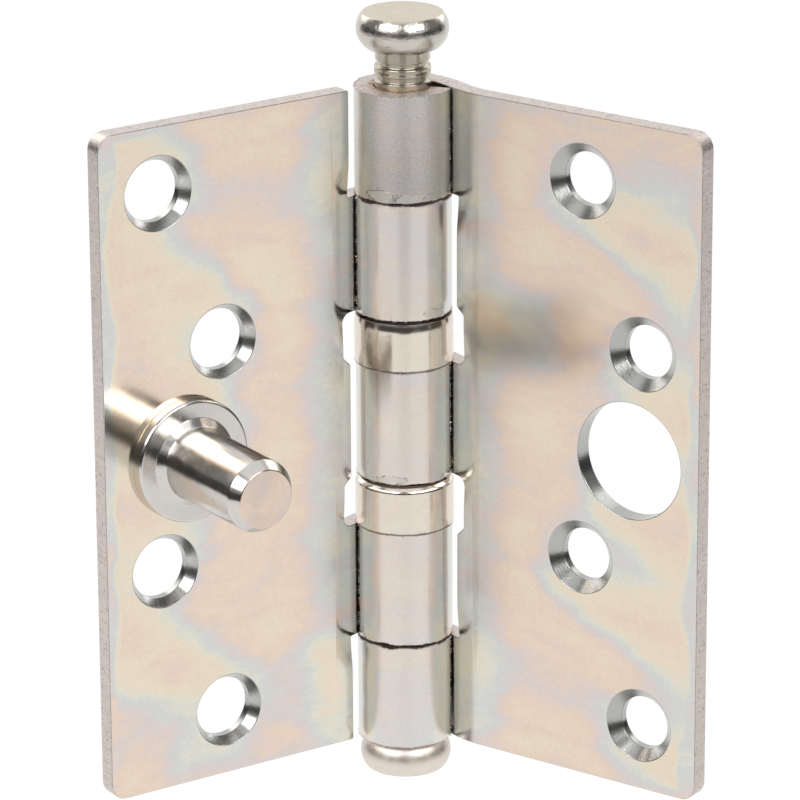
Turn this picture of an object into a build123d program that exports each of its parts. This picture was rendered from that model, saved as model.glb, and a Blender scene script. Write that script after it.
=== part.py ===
"""Loose-pin ball bearing hinge with a security stud.

The frame leaf lies in the XZ plane with its screw faces towards -Y. The origin is the centre of the
frame leaf's stud hole, on the leaf's back face. The hinge is modelled part open, with its pin drawn up.
"""

from build123d import *
import math
import os

# Leaves, in millimetres and degrees
leaf_height = 89.0
leaf_reach = 44.5
sheet = 2.5
closing_gap = 2.8
open_angle = 110.5
corner_radius = 2.2
edge_rounding = 0.35

# Swage between the flat of a leaf and its rolled knuckles, measured out from the hinge axis
swage_start = 0.2
swage_end = 11.0
seam_gap = 0.3

# Barrel: the door leaf's two knuckles fill what the other knuckles and the bearings leave
pin_diameter = 7.3
pin_clearance = 0.1
middle_knuckle = 15.4
end_knuckle = 14.15
bearing_space = 6.9
knuckle_gap = 0.25

# Cut-outs beside the other leaf's knuckles and round the bearings
notch_clearance = 1.1
relief_depth = 1.05
relief_corner = 1.3

# Countersunk screw holes, in two columns, near the leaf's ends and nearer its middle
screw_hole_diameter = 7.0
countersink_width = 1.5
countersink_angle = 90.0
screw_edge_distance = 8.6
screw_column_spacing = 9.2
screw_end_distance = 8.7
screw_near_height = 14.6

# Security stud on the door leaf, with its collar and flange measured out from the shaft
stud_edge_distance = 12.3
stud_diameter = 9.5
stud_length = 18.4
stud_tip_chamfer = 0.95
stud_tip_length = 1.5
stud_collar_width = 1.05
stud_collar_height = 0.9
stud_flange_width = 3.35
stud_flange_height = 1.6
stud_flange_rounding = 0.3
rivet_diameter = 8.0
rivet_head_width = 1.2
rivet_head_angle = 90.0

# Stud hole in the frame leaf, set further out than the stud because the stud swings in on an arc
stud_hole_clearance = 3.0
stud_hole_offset = 1.8

# Button heads of the pin and the plug, a little smaller than the barrel
button_inset = 0.3
button_flat_inset = 0.8
button_neck_inset = 1.35
button_belly = 2.5
button_shoulder = 2.05

# Pin, measured down from the underside of its head
pin_raise = 5.0
pin_tip_gap = 1.0
pin_tip_chamfer = 1.0
neck_undercut = 0.125
neck_length = 1.6
upper_groove_depth = 0.6
upper_groove_length = 0.7
ring_length = 1.15
ring_chamfer = 0.2
lower_groove_depth = 0.35
lower_groove_length = 0.75

# Plug spigot
spigot_length = 5.0
spigot_chamfer = 0.6

# Bearings
shell_proud = 0.2
shell_wall = 0.4
shell_shoulder = 1.0
shell_lip = 0.15
race_proud = 0.45
race_seat_clearance = 0.05
race_running_gap = 0.35
ball_count = 12
ball_clearance = 0.05
cage_rim = 0.2
cage_side_gap = 0.3

# Race grooves and cage, as shares of the ball's diameter
groove_share = 0.15
cage_share = 0.3

# Worked-out places
half_height = leaf_height / 2
half_gap = closing_gap / 2
pin_radius = pin_diameter / 2
bore_radius = pin_radius + pin_clearance
knuckle_radius = bore_radius + sheet
stud_radius = stud_diameter / 2
stud_reach = leaf_reach - stud_edge_distance
stud_hole_reach = stud_reach + stud_hole_offset
rivet_radius = rivet_diameter / 2
rivet_head_radius = rivet_radius + rivet_head_width
button_radius = knuckle_radius - button_inset
button_height = button_belly + button_shoulder
axis_x = -stud_hole_reach
axis_y = -(half_gap + sheet)
middle_end = middle_knuckle / 2
door_start = middle_end + bearing_space
end_start = half_height - end_knuckle
door_end = end_start - knuckle_gap
shell_radius = knuckle_radius + shell_proud
shell_inner = shell_radius - shell_wall
shell_height = bearing_space - race_proud
notch_reach = knuckle_radius + notch_clearance
relief_reach = notch_reach + relief_depth
ball_track = (pin_radius + shell_inner) / 2
ball_radius = (shell_inner - pin_radius) / 2 - cage_side_gap - cage_rim - ball_clearance
head_seat = half_height + pin_raise

hinge_axis = Axis((axis_x, axis_y, 0), (0, 0, 1))
turning_plane = Plane(origin=(axis_x, axis_y, 0), x_dir=(1, 0, 0), z_dir=(0, -1, 0))
open_turn = math.radians(open_angle)
door_direction = (math.cos(open_turn), -math.sin(open_turn), 0)
frame_plane = Plane(origin=(axis_x, axis_y, 0), x_dir=(1, 0, 0), z_dir=(0, 0, 1))
door_plane = Plane(origin=(axis_x, axis_y, 0), x_dir=door_direction, z_dir=(0, 0, -1))

screw_radius = screw_hole_diameter / 2
screw_outer_reach = leaf_reach - screw_edge_distance
screw_inner_reach = screw_outer_reach - screw_column_spacing
screw_far_height = half_height - screw_end_distance
screw_places = [
    (screw_inner_reach, screw_far_height),
    (screw_outer_reach, screw_near_height),
    (screw_inner_reach, -screw_near_height),
    (screw_outer_reach, -screw_far_height),
]


def face_plane(leaf_plane, depth):
    """Plane along a leaf, facing out of its screw side, at a depth behind the hinge axis."""
    origin = leaf_plane.from_local_coords((0, depth, 0))
    return Plane(origin=origin, x_dir=leaf_plane.x_dir, z_dir=-leaf_plane.y_dir)


def leaf_blank(leaf_plane):
    """Full-height leaf: flat sheet, swaged back and rolled round the pin until its end nearly meets the swage."""
    flat_depth = half_gap + sheet / 2
    roll_radius = bore_radius + sheet / 2
    swage_run = swage_end - swage_start
    swage_depth = roll_radius - flat_depth
    swage_turn = 2 * math.atan2(swage_depth, swage_run)
    swage_radius = swage_run / (2 * math.sin(swage_turn))
    swage_degrees = math.degrees(swage_turn)
    dip_centre_depth = flat_depth + swage_radius
    dip_centre_reach = math.hypot(swage_end, dip_centre_depth)
    seam_reach = swage_radius + sheet / 2 + seam_gap
    seam_squares = knuckle_radius**2 + dip_centre_reach**2 - seam_reach**2
    seam_turn = math.acos(seam_squares / (2 * knuckle_radius * dip_centre_reach))
    curl_tuck = math.degrees(math.atan2(dip_centre_depth, swage_end) - seam_turn)
    with BuildPart() as blank:
        with BuildSketch(leaf_plane.offset(-half_height)):
            with BuildLine():
                flat = Line((leaf_reach, flat_depth), (swage_end, flat_depth))
                dip = JernArc(flat @ 1, flat % 1, swage_radius, -swage_degrees)
                rise = JernArc(dip @ 1, dip % 1, swage_radius, swage_degrees)
                root = Line(rise @ 1, (0, roll_radius))
                JernArc(root @ 1, root % 1, roll_radius, 270 + curl_tuck)
            trace(line_width=sheet)
        extrude(amount=leaf_height)
        outward = Axis(leaf_plane.origin, leaf_plane.x_dir)
        through = Axis(leaf_plane.origin, leaf_plane.y_dir)
        fillet(blank.edges().filter_by(through).group_by(outward)[-1], corner_radius)
        screw_face = blank.faces().filter_by(through).sort_by(through)[0]
        fillet(screw_face.edges().sort_by(outward)[1:], edge_rounding)
        with Locations(*(face_plane(leaf_plane, half_gap).location * Pos(s, z) for s, z in screw_places)):
            CounterSinkHole(screw_radius, screw_radius + countersink_width, sheet, countersink_angle)
    return blank.part


# Frame leaf: the cuts leave the end knuckles and the middle one
with BuildPart() as frame_leaf:
    add(leaf_blank(frame_plane))
    with BuildSketch(face_plane(frame_plane, 0)) as frame_notches:
        with BuildLine():
            Polyline(
                (-leaf_reach, middle_end),
                (relief_reach, middle_end),
                (relief_reach, door_start),
                (notch_reach, door_start + relief_depth),
                (notch_reach, end_start),
                (-leaf_reach, end_start),
                close=True,
            )
        make_face()
        mirror(about=Plane.XZ)
        fillet(frame_notches.vertices().sort_by_distance((relief_reach, 0, 0))[:2], relief_corner)
    extrude(amount=leaf_reach, both=True, mode=Mode.SUBTRACT)
    with Locations(face_plane(frame_plane, half_gap).location * Pos(stud_hole_reach, 0)):
        Hole(stud_radius + stud_hole_clearance, sheet)

# Door leaf: the cuts leave its two knuckles, and its stud hole is sunk at the back for the rivet
with BuildPart() as door_leaf:
    add(leaf_blank(door_plane))
    with BuildSketch(face_plane(door_plane, 0)) as door_notches:
        with BuildLine():
            Polyline(
                (-leaf_reach, -door_start),
                (relief_reach, -door_start),
                (relief_reach, -middle_end - relief_depth),
                (notch_reach, -middle_end),
                (notch_reach, middle_end),
                (relief_reach, middle_end + relief_depth),
                (relief_reach, door_start),
                (-leaf_reach, door_start),
                close=True,
            )
        make_face()
        relief_ends = door_notches.vertices().group_by(Axis.X)[-1].group_by(Axis.Y)
        fillet(relief_ends[0] + relief_ends[-1], relief_corner)
        for end in (-1, 1):
            with BuildLine():
                Polyline(
                    (-leaf_reach, end * door_end),
                    (notch_reach, end * door_end),
                    (notch_reach, end * leaf_height),
                    (-leaf_reach, end * leaf_height),
                    close=True,
                )
            make_face()
    extrude(amount=leaf_reach, both=True, mode=Mode.SUBTRACT)
    back = face_plane(door_plane, half_gap + sheet)
    with Locations(Plane(back.origin, back.x_dir, -back.z_dir).location * Pos(stud_reach, 0)):
        CounterSinkHole(rivet_radius, rivet_head_radius, sheet, rivet_head_angle)

# Security stud, turned about the line through the door leaf, with its rivet set flush at the back
stud_face = face_plane(door_plane, half_gap)
stud_base = stud_face.from_local_coords((stud_reach, 0, 0))
stud_axis = Axis(stud_base, stud_face.z_dir)
rivet_set = rivet_head_width / math.tan(math.radians(rivet_head_angle / 2))
flange_radius = stud_radius + stud_flange_width
with BuildPart() as security_stud:
    with BuildSketch(Plane(stud_base, stud_face.x_dir, -stud_face.y_dir)) as stud_section:
        with BuildLine():
            Polyline(
                (0, -sheet),
                (rivet_head_radius, -sheet),
                (rivet_radius, rivet_set - sheet),
                (rivet_radius, 0),
                (flange_radius, 0),
                (flange_radius, stud_flange_height),
                (stud_radius + stud_collar_width, stud_flange_height),
                (stud_radius, stud_flange_height + stud_collar_height),
                (stud_radius, stud_length - stud_tip_length),
                (stud_radius - stud_tip_chamfer, stud_length),
                (0, stud_length),
                close=True,
            )
        make_face()
        rim = stud_section.vertices().group_by(Axis.X)[-1].sort_by(Axis.Y)
        fillet(rim[-1], stud_flange_rounding)
    revolve(axis=stud_axis)


def button_rim(seat, way):
    """Rounded rim of a button head, from its neck at the seat to its flat, upwards or downwards."""
    return ThreePointArc(
        (button_radius - button_neck_inset, seat),
        (button_radius, seat + way * button_belly),
        (button_radius - button_flat_inset, seat + way * button_height),
    )


# Loose pin, turned, drawn up from its seat on the top knuckle
neck_end = head_seat - neck_length
ring_top = neck_end - upper_groove_length
ring_end = ring_top - ring_length
shank_top = ring_end - lower_groove_length
pin_tip = spigot_length - half_height + pin_raise + pin_tip_gap
neck_radius = pin_radius - neck_undercut
upper_groove = pin_radius - upper_groove_depth
lower_groove = pin_radius - lower_groove_depth
with BuildPart() as hinge_pin:
    with BuildSketch(turning_plane):
        with BuildLine():
            rim = button_rim(head_seat, 1)
            Polyline(
                rim @ 1,
                (0, head_seat + button_height),
                (0, pin_tip),
                (pin_radius - pin_tip_chamfer, pin_tip),
                (pin_radius, pin_tip + pin_tip_chamfer),
                (pin_radius, shank_top - ring_chamfer),
                (pin_radius - ring_chamfer, shank_top),
                (lower_groove, shank_top),
                (lower_groove, ring_end),
                (pin_radius - ring_chamfer, ring_end),
                (pin_radius, ring_end + ring_chamfer),
                (pin_radius, ring_top - ring_chamfer),
                (pin_radius - ring_chamfer, ring_top),
                (upper_groove, ring_top),
                (upper_groove, neck_end),
                (neck_radius - ring_chamfer, neck_end),
                (neck_radius, neck_end + ring_chamfer),
                (neck_radius, head_seat),
                rim @ 0,
            )
        make_face()
    revolve(axis=hinge_axis)

# Button plug, pressed into the bottom knuckle
with BuildPart() as bottom_plug:
    with BuildSketch(turning_plane):
        with BuildLine():
            rim = button_rim(-half_height, -1)
            Polyline(
                rim @ 1,
                (0, -half_height - button_height),
                (0, spigot_length - half_height),
                (bore_radius - spigot_chamfer, spigot_length - half_height),
                (bore_radius, spigot_length - half_height - spigot_chamfer),
                (bore_radius, -half_height),
                rim @ 0,
            )
        make_face()
    revolve(axis=hinge_axis)


def bearing(base):
    """Shell, races, cage and balls of one bearing that stands on a knuckle's end at the base height."""
    shell_top = base + shell_height
    inner_shoulder = shell_shoulder - shell_wall
    lip_radius = shell_radius - shell_shoulder - shell_lip
    collar_start = shell_top - shell_wall - race_running_gap
    top_race_radius = shell_inner - race_running_gap
    groove_radius = ball_radius + ball_clearance
    half_groove_space = groove_radius - 2 * ball_radius * groove_share
    ball_middle = (base + collar_start) / 2
    cage_height = 2 * ball_radius * cage_share
    with BuildPart() as shell:
        with BuildSketch(turning_plane):
            with BuildLine():
                side = Line((shell_radius, base), (shell_radius, shell_top - shell_shoulder))
                shoulder = JernArc(side @ 1, side % 1, shell_shoulder, 90)
                lip = Line((lip_radius, shell_top), (lip_radius, shell_top - shell_wall))
                Line(shoulder @ 1, lip @ 0)
                under = Line(lip @ 1, (shell_radius - shell_shoulder, shell_top - shell_wall))
                bend = JernArc(under @ 1, under % 1, inner_shoulder, -90)
                Polyline(bend @ 1, (shell_inner, base), (shell_radius, base))
            make_face()
        revolve(axis=hinge_axis)
    with BuildPart() as bottom_race:
        with BuildSketch(turning_plane):
            with BuildLine():
                Polyline(
                    (bore_radius, base),
                    (shell_inner - race_seat_clearance, base),
                    (shell_inner - race_seat_clearance, ball_middle - half_groove_space),
                    (bore_radius, ball_middle - half_groove_space),
                    close=True,
                )
            make_face()
            with Locations((ball_track, ball_middle)):
                Circle(groove_radius, mode=Mode.SUBTRACT)
        revolve(axis=hinge_axis)
    with BuildPart() as top_race:
        with BuildSketch(turning_plane):
            with BuildLine():
                Polyline(
                    (bore_radius, ball_middle + half_groove_space),
                    (top_race_radius, ball_middle + half_groove_space),
                    (top_race_radius, collar_start),
                    (lip_radius - race_running_gap, collar_start),
                    (lip_radius - race_running_gap, base + bearing_space),
                    (bore_radius, base + bearing_space),
                    close=True,
                )
            make_face()
            with Locations((ball_track, ball_middle)):
                Circle(groove_radius, mode=Mode.SUBTRACT)
        revolve(axis=hinge_axis)
    with BuildPart() as ball_cage:
        with BuildSketch(Plane((axis_x, axis_y, ball_middle))):
            Circle(shell_inner - cage_side_gap)
            Circle(pin_radius + cage_side_gap, mode=Mode.SUBTRACT)
            with PolarLocations(ball_track, ball_count):
                Circle(groove_radius, mode=Mode.SUBTRACT)
        extrude(amount=cage_height / 2, both=True)
    with BuildPart() as balls:
        with Locations((axis_x, axis_y, ball_middle)):
            with PolarLocations(ball_track, ball_count):
                Sphere(ball_radius)
    return {
        "shell": shell.part,
        "bottom_race": bottom_race.part,
        "top_race": top_race.part,
        "cage": ball_cage.part,
        "balls": balls.part,
    }


pieces = {
    "frame_leaf": frame_leaf.part,
    "door_leaf": door_leaf.part,
    "security_stud": security_stud.part,
    "hinge_pin": hinge_pin.part,
    "bottom_plug": bottom_plug.part,
}
for place, base in (("upper_bearing", middle_end), ("lower_bearing", -door_start)):
    for name, solid in bearing(base).items():
        pieces[f"{place}_{name}"] = solid

os.makedirs("parts", exist_ok=True)
for label, solid in pieces.items():
    solid.label = label
    export_step(solid, f"parts/{label}.step")
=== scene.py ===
"""Dressed loose-pin ball bearing hinge with a security stud.

Two pressed and rolled leaves, a turned pin drawn up out of the barrel, a plug below it, a riveted
stud and two ball bearings. Every piece is zinc plated steel under an iridescent passivate film.
"""

import math

import bpy
from bpy.props import FloatProperty, FloatVectorProperty, IntProperty, PointerProperty
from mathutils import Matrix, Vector, noise
from mathutils.geometry import delaunay_2d_cdt


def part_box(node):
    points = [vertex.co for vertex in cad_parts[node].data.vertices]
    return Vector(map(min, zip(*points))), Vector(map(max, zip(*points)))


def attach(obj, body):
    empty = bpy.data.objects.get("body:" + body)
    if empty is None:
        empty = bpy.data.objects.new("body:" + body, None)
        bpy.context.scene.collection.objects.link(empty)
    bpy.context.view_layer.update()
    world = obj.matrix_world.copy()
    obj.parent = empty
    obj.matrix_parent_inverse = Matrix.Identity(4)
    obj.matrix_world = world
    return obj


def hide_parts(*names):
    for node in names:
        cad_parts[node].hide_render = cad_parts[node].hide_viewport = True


bl_info = {
    "name": "Ball Bearing Hinge",
    "version": (1, 0, 0),
    "blender": (4, 5, 0),
    "location": "View3D > Sidebar > Hinge",
    "description": "Dresses the ball bearing hinge round its packed frame",
    "category": "Add Mesh",
}

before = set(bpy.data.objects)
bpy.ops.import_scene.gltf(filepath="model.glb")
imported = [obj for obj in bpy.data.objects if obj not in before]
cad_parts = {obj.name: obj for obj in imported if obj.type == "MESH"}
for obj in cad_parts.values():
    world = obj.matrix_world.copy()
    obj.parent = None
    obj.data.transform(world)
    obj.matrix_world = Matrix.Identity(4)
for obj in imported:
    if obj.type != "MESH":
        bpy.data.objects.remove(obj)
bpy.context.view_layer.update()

MM = 0.001

# Places read from the frame: the hinge axis, the barrel and the reach of the leaves.
LEAF_LOW, LEAF_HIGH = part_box("frame_leaf")
PIN_LOW, PIN_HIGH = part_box("hinge_pin")
PLUG_LOW, PLUG_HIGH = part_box("bottom_plug")
AXIS = Vector(((PIN_LOW.x + PIN_HIGH.x) / 2, (PIN_LOW.y + PIN_HIGH.y) / 2, 0))
KNUCKLE_RADIUS = AXIS.x - LEAF_LOW.x
LEAF_REACH = LEAF_HIGH.x - AXIS.x
LEAF_HEIGHT = LEAF_HIGH.z - LEAF_LOW.z
UP = Vector((0, 0, 1))

# Rounded corners of profiles and outlines.
CORNER_ROOM = 0.45  # share of its shorter side that a corner may take
CORNER_STEP = math.radians(9)  # turn from point to point round a leaf's corner
STRAIGHT_TURN = 1e-5  # a smaller turn is no corner
SMALL_CORNER = 0.3 * MM  # knuckles and notches
SOFT_CORNER = 40 * MM  # as round as the sides allow
HOLE_RIM, SINK_FOOT, HOLE_BACK = 0.16 * MM, 0.2 * MM, 0.1 * MM  # from the front of a hole to its back
TURNED_EDGE, HEAD_EDGE = 0.2 * MM, 0.28 * MM  # pin, and rim of the flat on a button head
SPIGOT_EDGE, SEAT_EDGE, SPIGOT_CHAMFER = 0.12 * MM, 0.15 * MM, 0.6 * MM
SHELL_EDGE = 0.05 * MM

# Spacing of the points of a leaf.
ROLL_ROW = 0.4 * MM
SIDE_ROW = 2.0 * MM
ROLL_STEPS = 96
HOLE_STEPS = 96
PATH_STEPS = 700
HALVINGS = 36  # of the search for a place on the bend line
TINY, LEVEL = 1e-6, 1e-9  # metres between two points, and in height along a level side
ON_AXIS = 1e-7  # a radius below this is a point on the axis

# Uneven sheared ends of the knuckles.
END_REACH = 6 * MM  # from the axis to where the end becomes a plain edge
END_FADE = 4 * MM
ROLL_START = 2 * MM  # from the axis; nearer than that the outer face is the back of the sheet
ROUNDING_FADE = 3 * MM
WAVE_ALONG, WAVE_UP = 2.0 * MM, 3 * MM
WAVE_DEPTH, LEAST_DIP = 0.35, 0.05  # shares of the waviness
TORN_LOW, TORN_HIGH = 26 * MM, 34 * MM  # heights between which the ends are torn
TORN_SHARE = 2.4


def length(name, description, millimetres):
    """A size that a user may change, shown in scene units."""
    return FloatProperty(
        name=name, description=description, default=millimetres * MM, min=0.0, unit="LENGTH", precision=5
    )


def colour(name, description, value):
    """A film or metal colour that a user may change."""
    return FloatVectorProperty(
        name=name, description=description, default=value, size=3, min=0.0, max=1.0, subtype="COLOR"
    )


def plain(name, description, value):
    """A bare number that a user may change."""
    return FloatProperty(name=name, description=description, default=value)


def angle(name, description, degrees):
    """An angle that a user may change."""
    return FloatProperty(name=name, description=description, default=math.radians(degrees), subtype="ANGLE")


class HingeLeafSizes(bpy.types.PropertyGroup):
    """Sizes of the two rolled leaves."""

    sheet: length("Sheet", "Thickness of the leaf", 2.5)
    flat_depth: length("Flat depth", "Front face of a leaf behind the hinge axis", 1.4)
    open_angle: angle("Open angle", "Angle between the two leaves", 110.5)
    corner_radius: length("Corner radius", "Outer corners of a leaf", 2.2)
    edge_rounding: length("Edge rounding", "Die roll along the front of the sheared edges", 0.12)
    end_rounding: length("End rounding", "Broken edge at the ends of the knuckles", 0.13)
    back_rounding: length("Back rounding", "Broken edge along the back", 0.1)
    swage_start: length("Swage start", "Where the swage meets the barrel", 0.2)
    swage_end: length("Swage end", "Where the swage meets the flat leaf", 11.0)
    swage_fade: length("Swage fade", "How far beside a knuckle the swage runs out", 5.0)
    seam_gap: length("Seam gap", "Gap between the rolled end and the swage", 0.22)
    end_knuckle: length("End knuckle", "Height of the top and bottom knuckles", 14.15)
    middle_knuckle: length("Middle knuckle", "Height of the middle knuckle", 15.4)
    bearing_space: length("Bearing space", "Height between the knuckles that a bearing takes", 6.9)
    knuckle_gap: length("Knuckle gap", "Gap between two knuckles", 0.25)
    notch_reach: length("Notch reach", "How far the notches reach from the axis", 7.35)
    relief_depth: length("Relief depth", "Extra depth of the notch beside a bearing", 1.05)
    relief_corner: length("Relief corner", "Rounded inner corner of that notch", 1.3)
    frame_hole: length("Frame screw hole", "Diameter of a screw hole in the frame leaf", 7.0)
    door_hole: length("Door screw hole", "Diameter of a screw hole in the door leaf", 8.0)
    countersink: length("Countersink", "Diameter of a countersink at the face", 9.8)
    countersink_depth: length("Countersink depth", "Depth of a countersink", 1.4)
    screw_inner: length("Inner screws", "Inner screw column from the axis", 26.7)
    screw_outer: length("Outer screws", "Outer screw column from the axis", 35.9)
    screw_high: length("End screws", "Height of the screws near the ends", 35.8)
    screw_low: length("Middle screws", "Height of the screws near the middle", 14.6)
    stud_hole: length("Stud hole", "Diameter of the plain hole for the stud", 15.5)
    stud_hole_place: length("Stud hole place", "Plain hole from the axis", 34.0)
    end_waviness: length("End waviness", "Unevenness of the sheared knuckle ends", 0.14)
    burr_size: length("Burr size", "Size of the crumbs along the knuckle ends", 0.15)


class HingeTurnedSizes(bpy.types.PropertyGroup):
    """Sizes of the pin, the plug, the stud and the bearing shells."""

    head_height: length("Head height", "Height of the button heads", 4.55)
    head_neck: length("Head neck", "Radius of a button head at its seat", 4.6)
    head_belly: length("Head belly", "Height of the widest part of a head", 2.5)
    head_flat: length("Head flat", "Radius of the flat on a head", 5.15)
    pin_radius: length("Pin radius", "Radius of the pin", 3.65)
    neck_radius: length("Neck radius", "Radius of the undercut below the head", 3.525)
    neck_length: length("Neck length", "Length of the undercut", 1.6)
    upper_groove: length("Upper groove", "Radius of the upper ring groove", 3.2)
    upper_groove_length: length("Upper groove length", "Length of the upper groove", 0.7)
    ring_length: length("Ring length", "Length of the ring between the grooves", 1.15)
    ring_line: length("Ring line", "Fine groove that parts the ring into two beads", 0.16)
    lower_groove: length("Lower groove", "Radius of the lower ring groove", 3.3)
    lower_groove_length: length("Lower groove length", "Length of the lower groove", 0.75)
    pin_tip_chamfer: length("Pin tip chamfer", "Chamfer at the foot of the pin", 1.0)
    spigot_radius: length("Spigot radius", "Radius of the plug inside the barrel", 3.75)
    stud_place: length("Stud place", "Stud from the hinge axis", 32.2)
    stud_radius: length("Stud radius", "Radius of the stud shaft", 4.75)
    stud_length: length("Stud length", "Length of the stud in front of the leaf", 18.4)
    stud_tip_radius: length("Stud tip radius", "Radius of the flat tip", 3.8)
    stud_tip_length: length("Stud tip length", "Length of the tip chamfer", 1.5)
    flange_radius: length("Flange radius", "Radius of the stud flange", 8.1)
    flange_height: length("Flange height", "Height of the stud flange", 1.6)
    collar_radius: length("Collar radius", "Radius at the foot of the shaft", 5.8)
    collar_height: length("Collar height", "Height of the cone at the foot", 0.9)
    rivet_radius: length("Rivet radius", "Radius of the rivet shank", 4.0)
    rivet_head: length("Rivet head", "Radius of the flush rivet head", 5.2)
    shell_radius: length("Shell radius", "Radius of a bearing shell", 6.45)
    shell_wall: length("Shell wall", "Wall of a bearing shell", 0.4)
    shell_shoulder: length("Shell shoulder", "Rounded shoulder of a shell", 1.0)
    upper_taper: length("Upper taper", "Height of the taper below the top of the upper shell", 1.3)
    upper_taper_set: length("Upper taper set", "How far that taper leans in", 0.2)
    lower_chamfer: length("Lower chamfer", "Bevel round the top of the lower shell", 0.55)
    shell_lip: length("Shell lip", "Flat lip inside the shoulder", 0.15)
    around: IntProperty(name="Steps round", description="Steps round a turned piece", default=144, min=24)


class HingeFinish(bpy.types.PropertyGroup):
    """Colours of the passivate film and of bare steel, and the gloss of the plating."""

    cream: colour("Cream", "Film where it is thinnest", (0.775, 0.68, 0.545))
    pink: colour("Pink", "Film a little thicker", (0.765, 0.62, 0.515))
    lavender: colour("Lavender", "Film thicker again", (0.685, 0.61, 0.59))
    blue_grey: colour("Blue grey", "Film thicker still", (0.63, 0.645, 0.63))
    pale_green: colour("Pale green", "Film where it is thickest", (0.71, 0.695, 0.605))
    silver: colour("Silver", "Plating with hardly any film", (0.66, 0.655, 0.635))
    sheared: colour("Sheared edge", "Plating over the sheared edges", (0.72, 0.64, 0.60))
    # Dark marks and painted shade: this colour paints the pits, chips and torn rims, and also painted shade
    # along the rolled edges and round the bearing shells where parts meet.
    dark_marks_and_shade: colour("Dark marks and painted shade", "Dark pits, chips and torn rims, and painted shade along edges and joints", (0.16, 0.14, 0.12))
    # Painted highlight: a near-white colour for glints painted along the rolled front edges of the leaves.
    edge_glint: colour("Painted edge glint", "Painted highlights along the rolled edge", (0.95, 0.93, 0.90))
    olive: colour("Olive", "Thick film in the grooves of the pin", (0.36, 0.31, 0.22))
    stain: colour("Stain", "Brown stain at the mouth of the bore", (0.40, 0.22, 0.10))
    race_steel: colour("Race steel", "Ground steel of the races", (0.50, 0.50, 0.49))
    cage_steel: colour("Cage steel", "Pressed steel of the ball cages", (0.42, 0.40, 0.37))
    ball_steel: colour("Ball steel", "Polished steel of the balls", (0.60, 0.60, 0.60))
    frame_gloss: plain("Frame leaf roughness", "Roughness of the frame leaf", 0.2)
    door_gloss: plain("Door leaf roughness", "Roughness of the door leaf", 0.145)
    hole_gloss: plain("Countersink roughness", "Roughness of the cut countersinks", 0.22)
    barrel_gloss: plain("Barrel roughness", "Roughness of the rolled knuckles", 0.24)


class HingeStage(bpy.types.PropertyGroup):
    """Camera, floor and studio light."""

    camera_azimuth: angle("Camera azimuth", "Camera round the hinge axis", 35.62)
    camera_height: angle("Camera elevation", "Camera above the horizon", 19.281)
    camera_roll: angle("Camera roll", "Turn about the line of sight", -0.277)
    camera_distance: length("Camera distance", "Camera from the middle of the barrel", 710.93)
    lens: plain("Lens", "Focal length in millimetres", 245.96)
    shift_x: plain("Shift X", "Sideways shift of the frame", -0.00527)
    shift_y: plain("Shift Y", "Upward shift of the frame", 0.01703)
    floor_drop: length("Floor drop", "Floor below the middle of the hinge", 300.0)
    floor_colour: colour("Floor colour", "Pale floor", (0.86, 0.86, 0.85))
    sky_light: plain("Sky light", "Soft light from all round", 0.75)


# Profiles and turned pieces


def right_of(direction):
    """Normal on the right hand of a direction in the plane."""
    return Vector((direction.y, -direction.x))


def rounded_corner(before, corner, after, radius, steps=None):
    """Places and right-hand normals round a corner, whose radius shrinks where its sides are short."""
    arrive = (corner - before).normalized()
    leave = (after - corner).normalized()
    turn = math.atan2(arrive.x * leave.y - arrive.y * leave.x, arrive.dot(leave))
    if abs(turn) < STRAIGHT_TURN:
        return [(corner, right_of(arrive))]
    room = CORNER_ROOM * min((corner - before).length, (after - corner).length)
    reach = min(radius * math.tan(abs(turn) / 2), room)
    bend = math.copysign(reach / math.tan(abs(turn) / 2), turn)
    centre = corner - arrive * reach - right_of(arrive) * bend
    heading = math.atan2(arrive.y, arrive.x)
    steps = steps or max(4, round(abs(turn) / CORNER_STEP))
    arc = []
    for step in range(steps + 1):
        now = heading + turn * step / steps
        normal = right_of(Vector((math.cos(now), math.sin(now))))
        arc.append((centre + normal * bend, normal))
    return arc


def rounded_profile(corners, radii, steps=5):
    """Places and right-hand normals along an open profile with rounded corners."""
    corners = [Vector(corner) for corner in corners]
    profile = [(corners[0], right_of((corners[1] - corners[0]).normalized()))]
    for before, corner, after, radius in zip(corners, corners[1:], corners[2:], radii):
        profile += rounded_corner(before, corner, after, radius, steps)
    profile.append((corners[-1], right_of((corners[-1] - corners[-2]).normalized())))
    return profile


def arc_points(start, middle, end, count=20):
    """Points of the circular arc from start through middle to end."""
    (ax, ay), (bx, by), (cx, cy) = start, middle, end
    scale = 2 * (ax * (by - cy) + bx * (cy - ay) + cx * (ay - by))
    a, b, c = ax * ax + ay * ay, bx * bx + by * by, cx * cx + cy * cy
    centre_x = a * (by - cy) + b * (cy - ay) + c * (ay - by)
    centre_y = a * (cx - bx) + b * (ax - cx) + c * (bx - ax)
    centre = Vector((centre_x, centre_y))
    centre /= scale
    radius = (Vector(start) - centre).length
    first = math.atan2(ay - centre.y, ax - centre.x)
    sweep = math.atan2(cy - centre.y, cx - centre.x) - first
    half = math.atan2(by - centre.y, bx - centre.x) - first
    sweep = math.remainder(sweep, 2 * math.pi)
    if math.remainder(half, 2 * math.pi) * sweep < 0:
        sweep -= math.copysign(2 * math.pi, sweep)
    steps = [first + sweep * step / count for step in range(count + 1)]
    return [centre + radius * Vector((math.cos(step), math.sin(step))) for step in steps]


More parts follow.
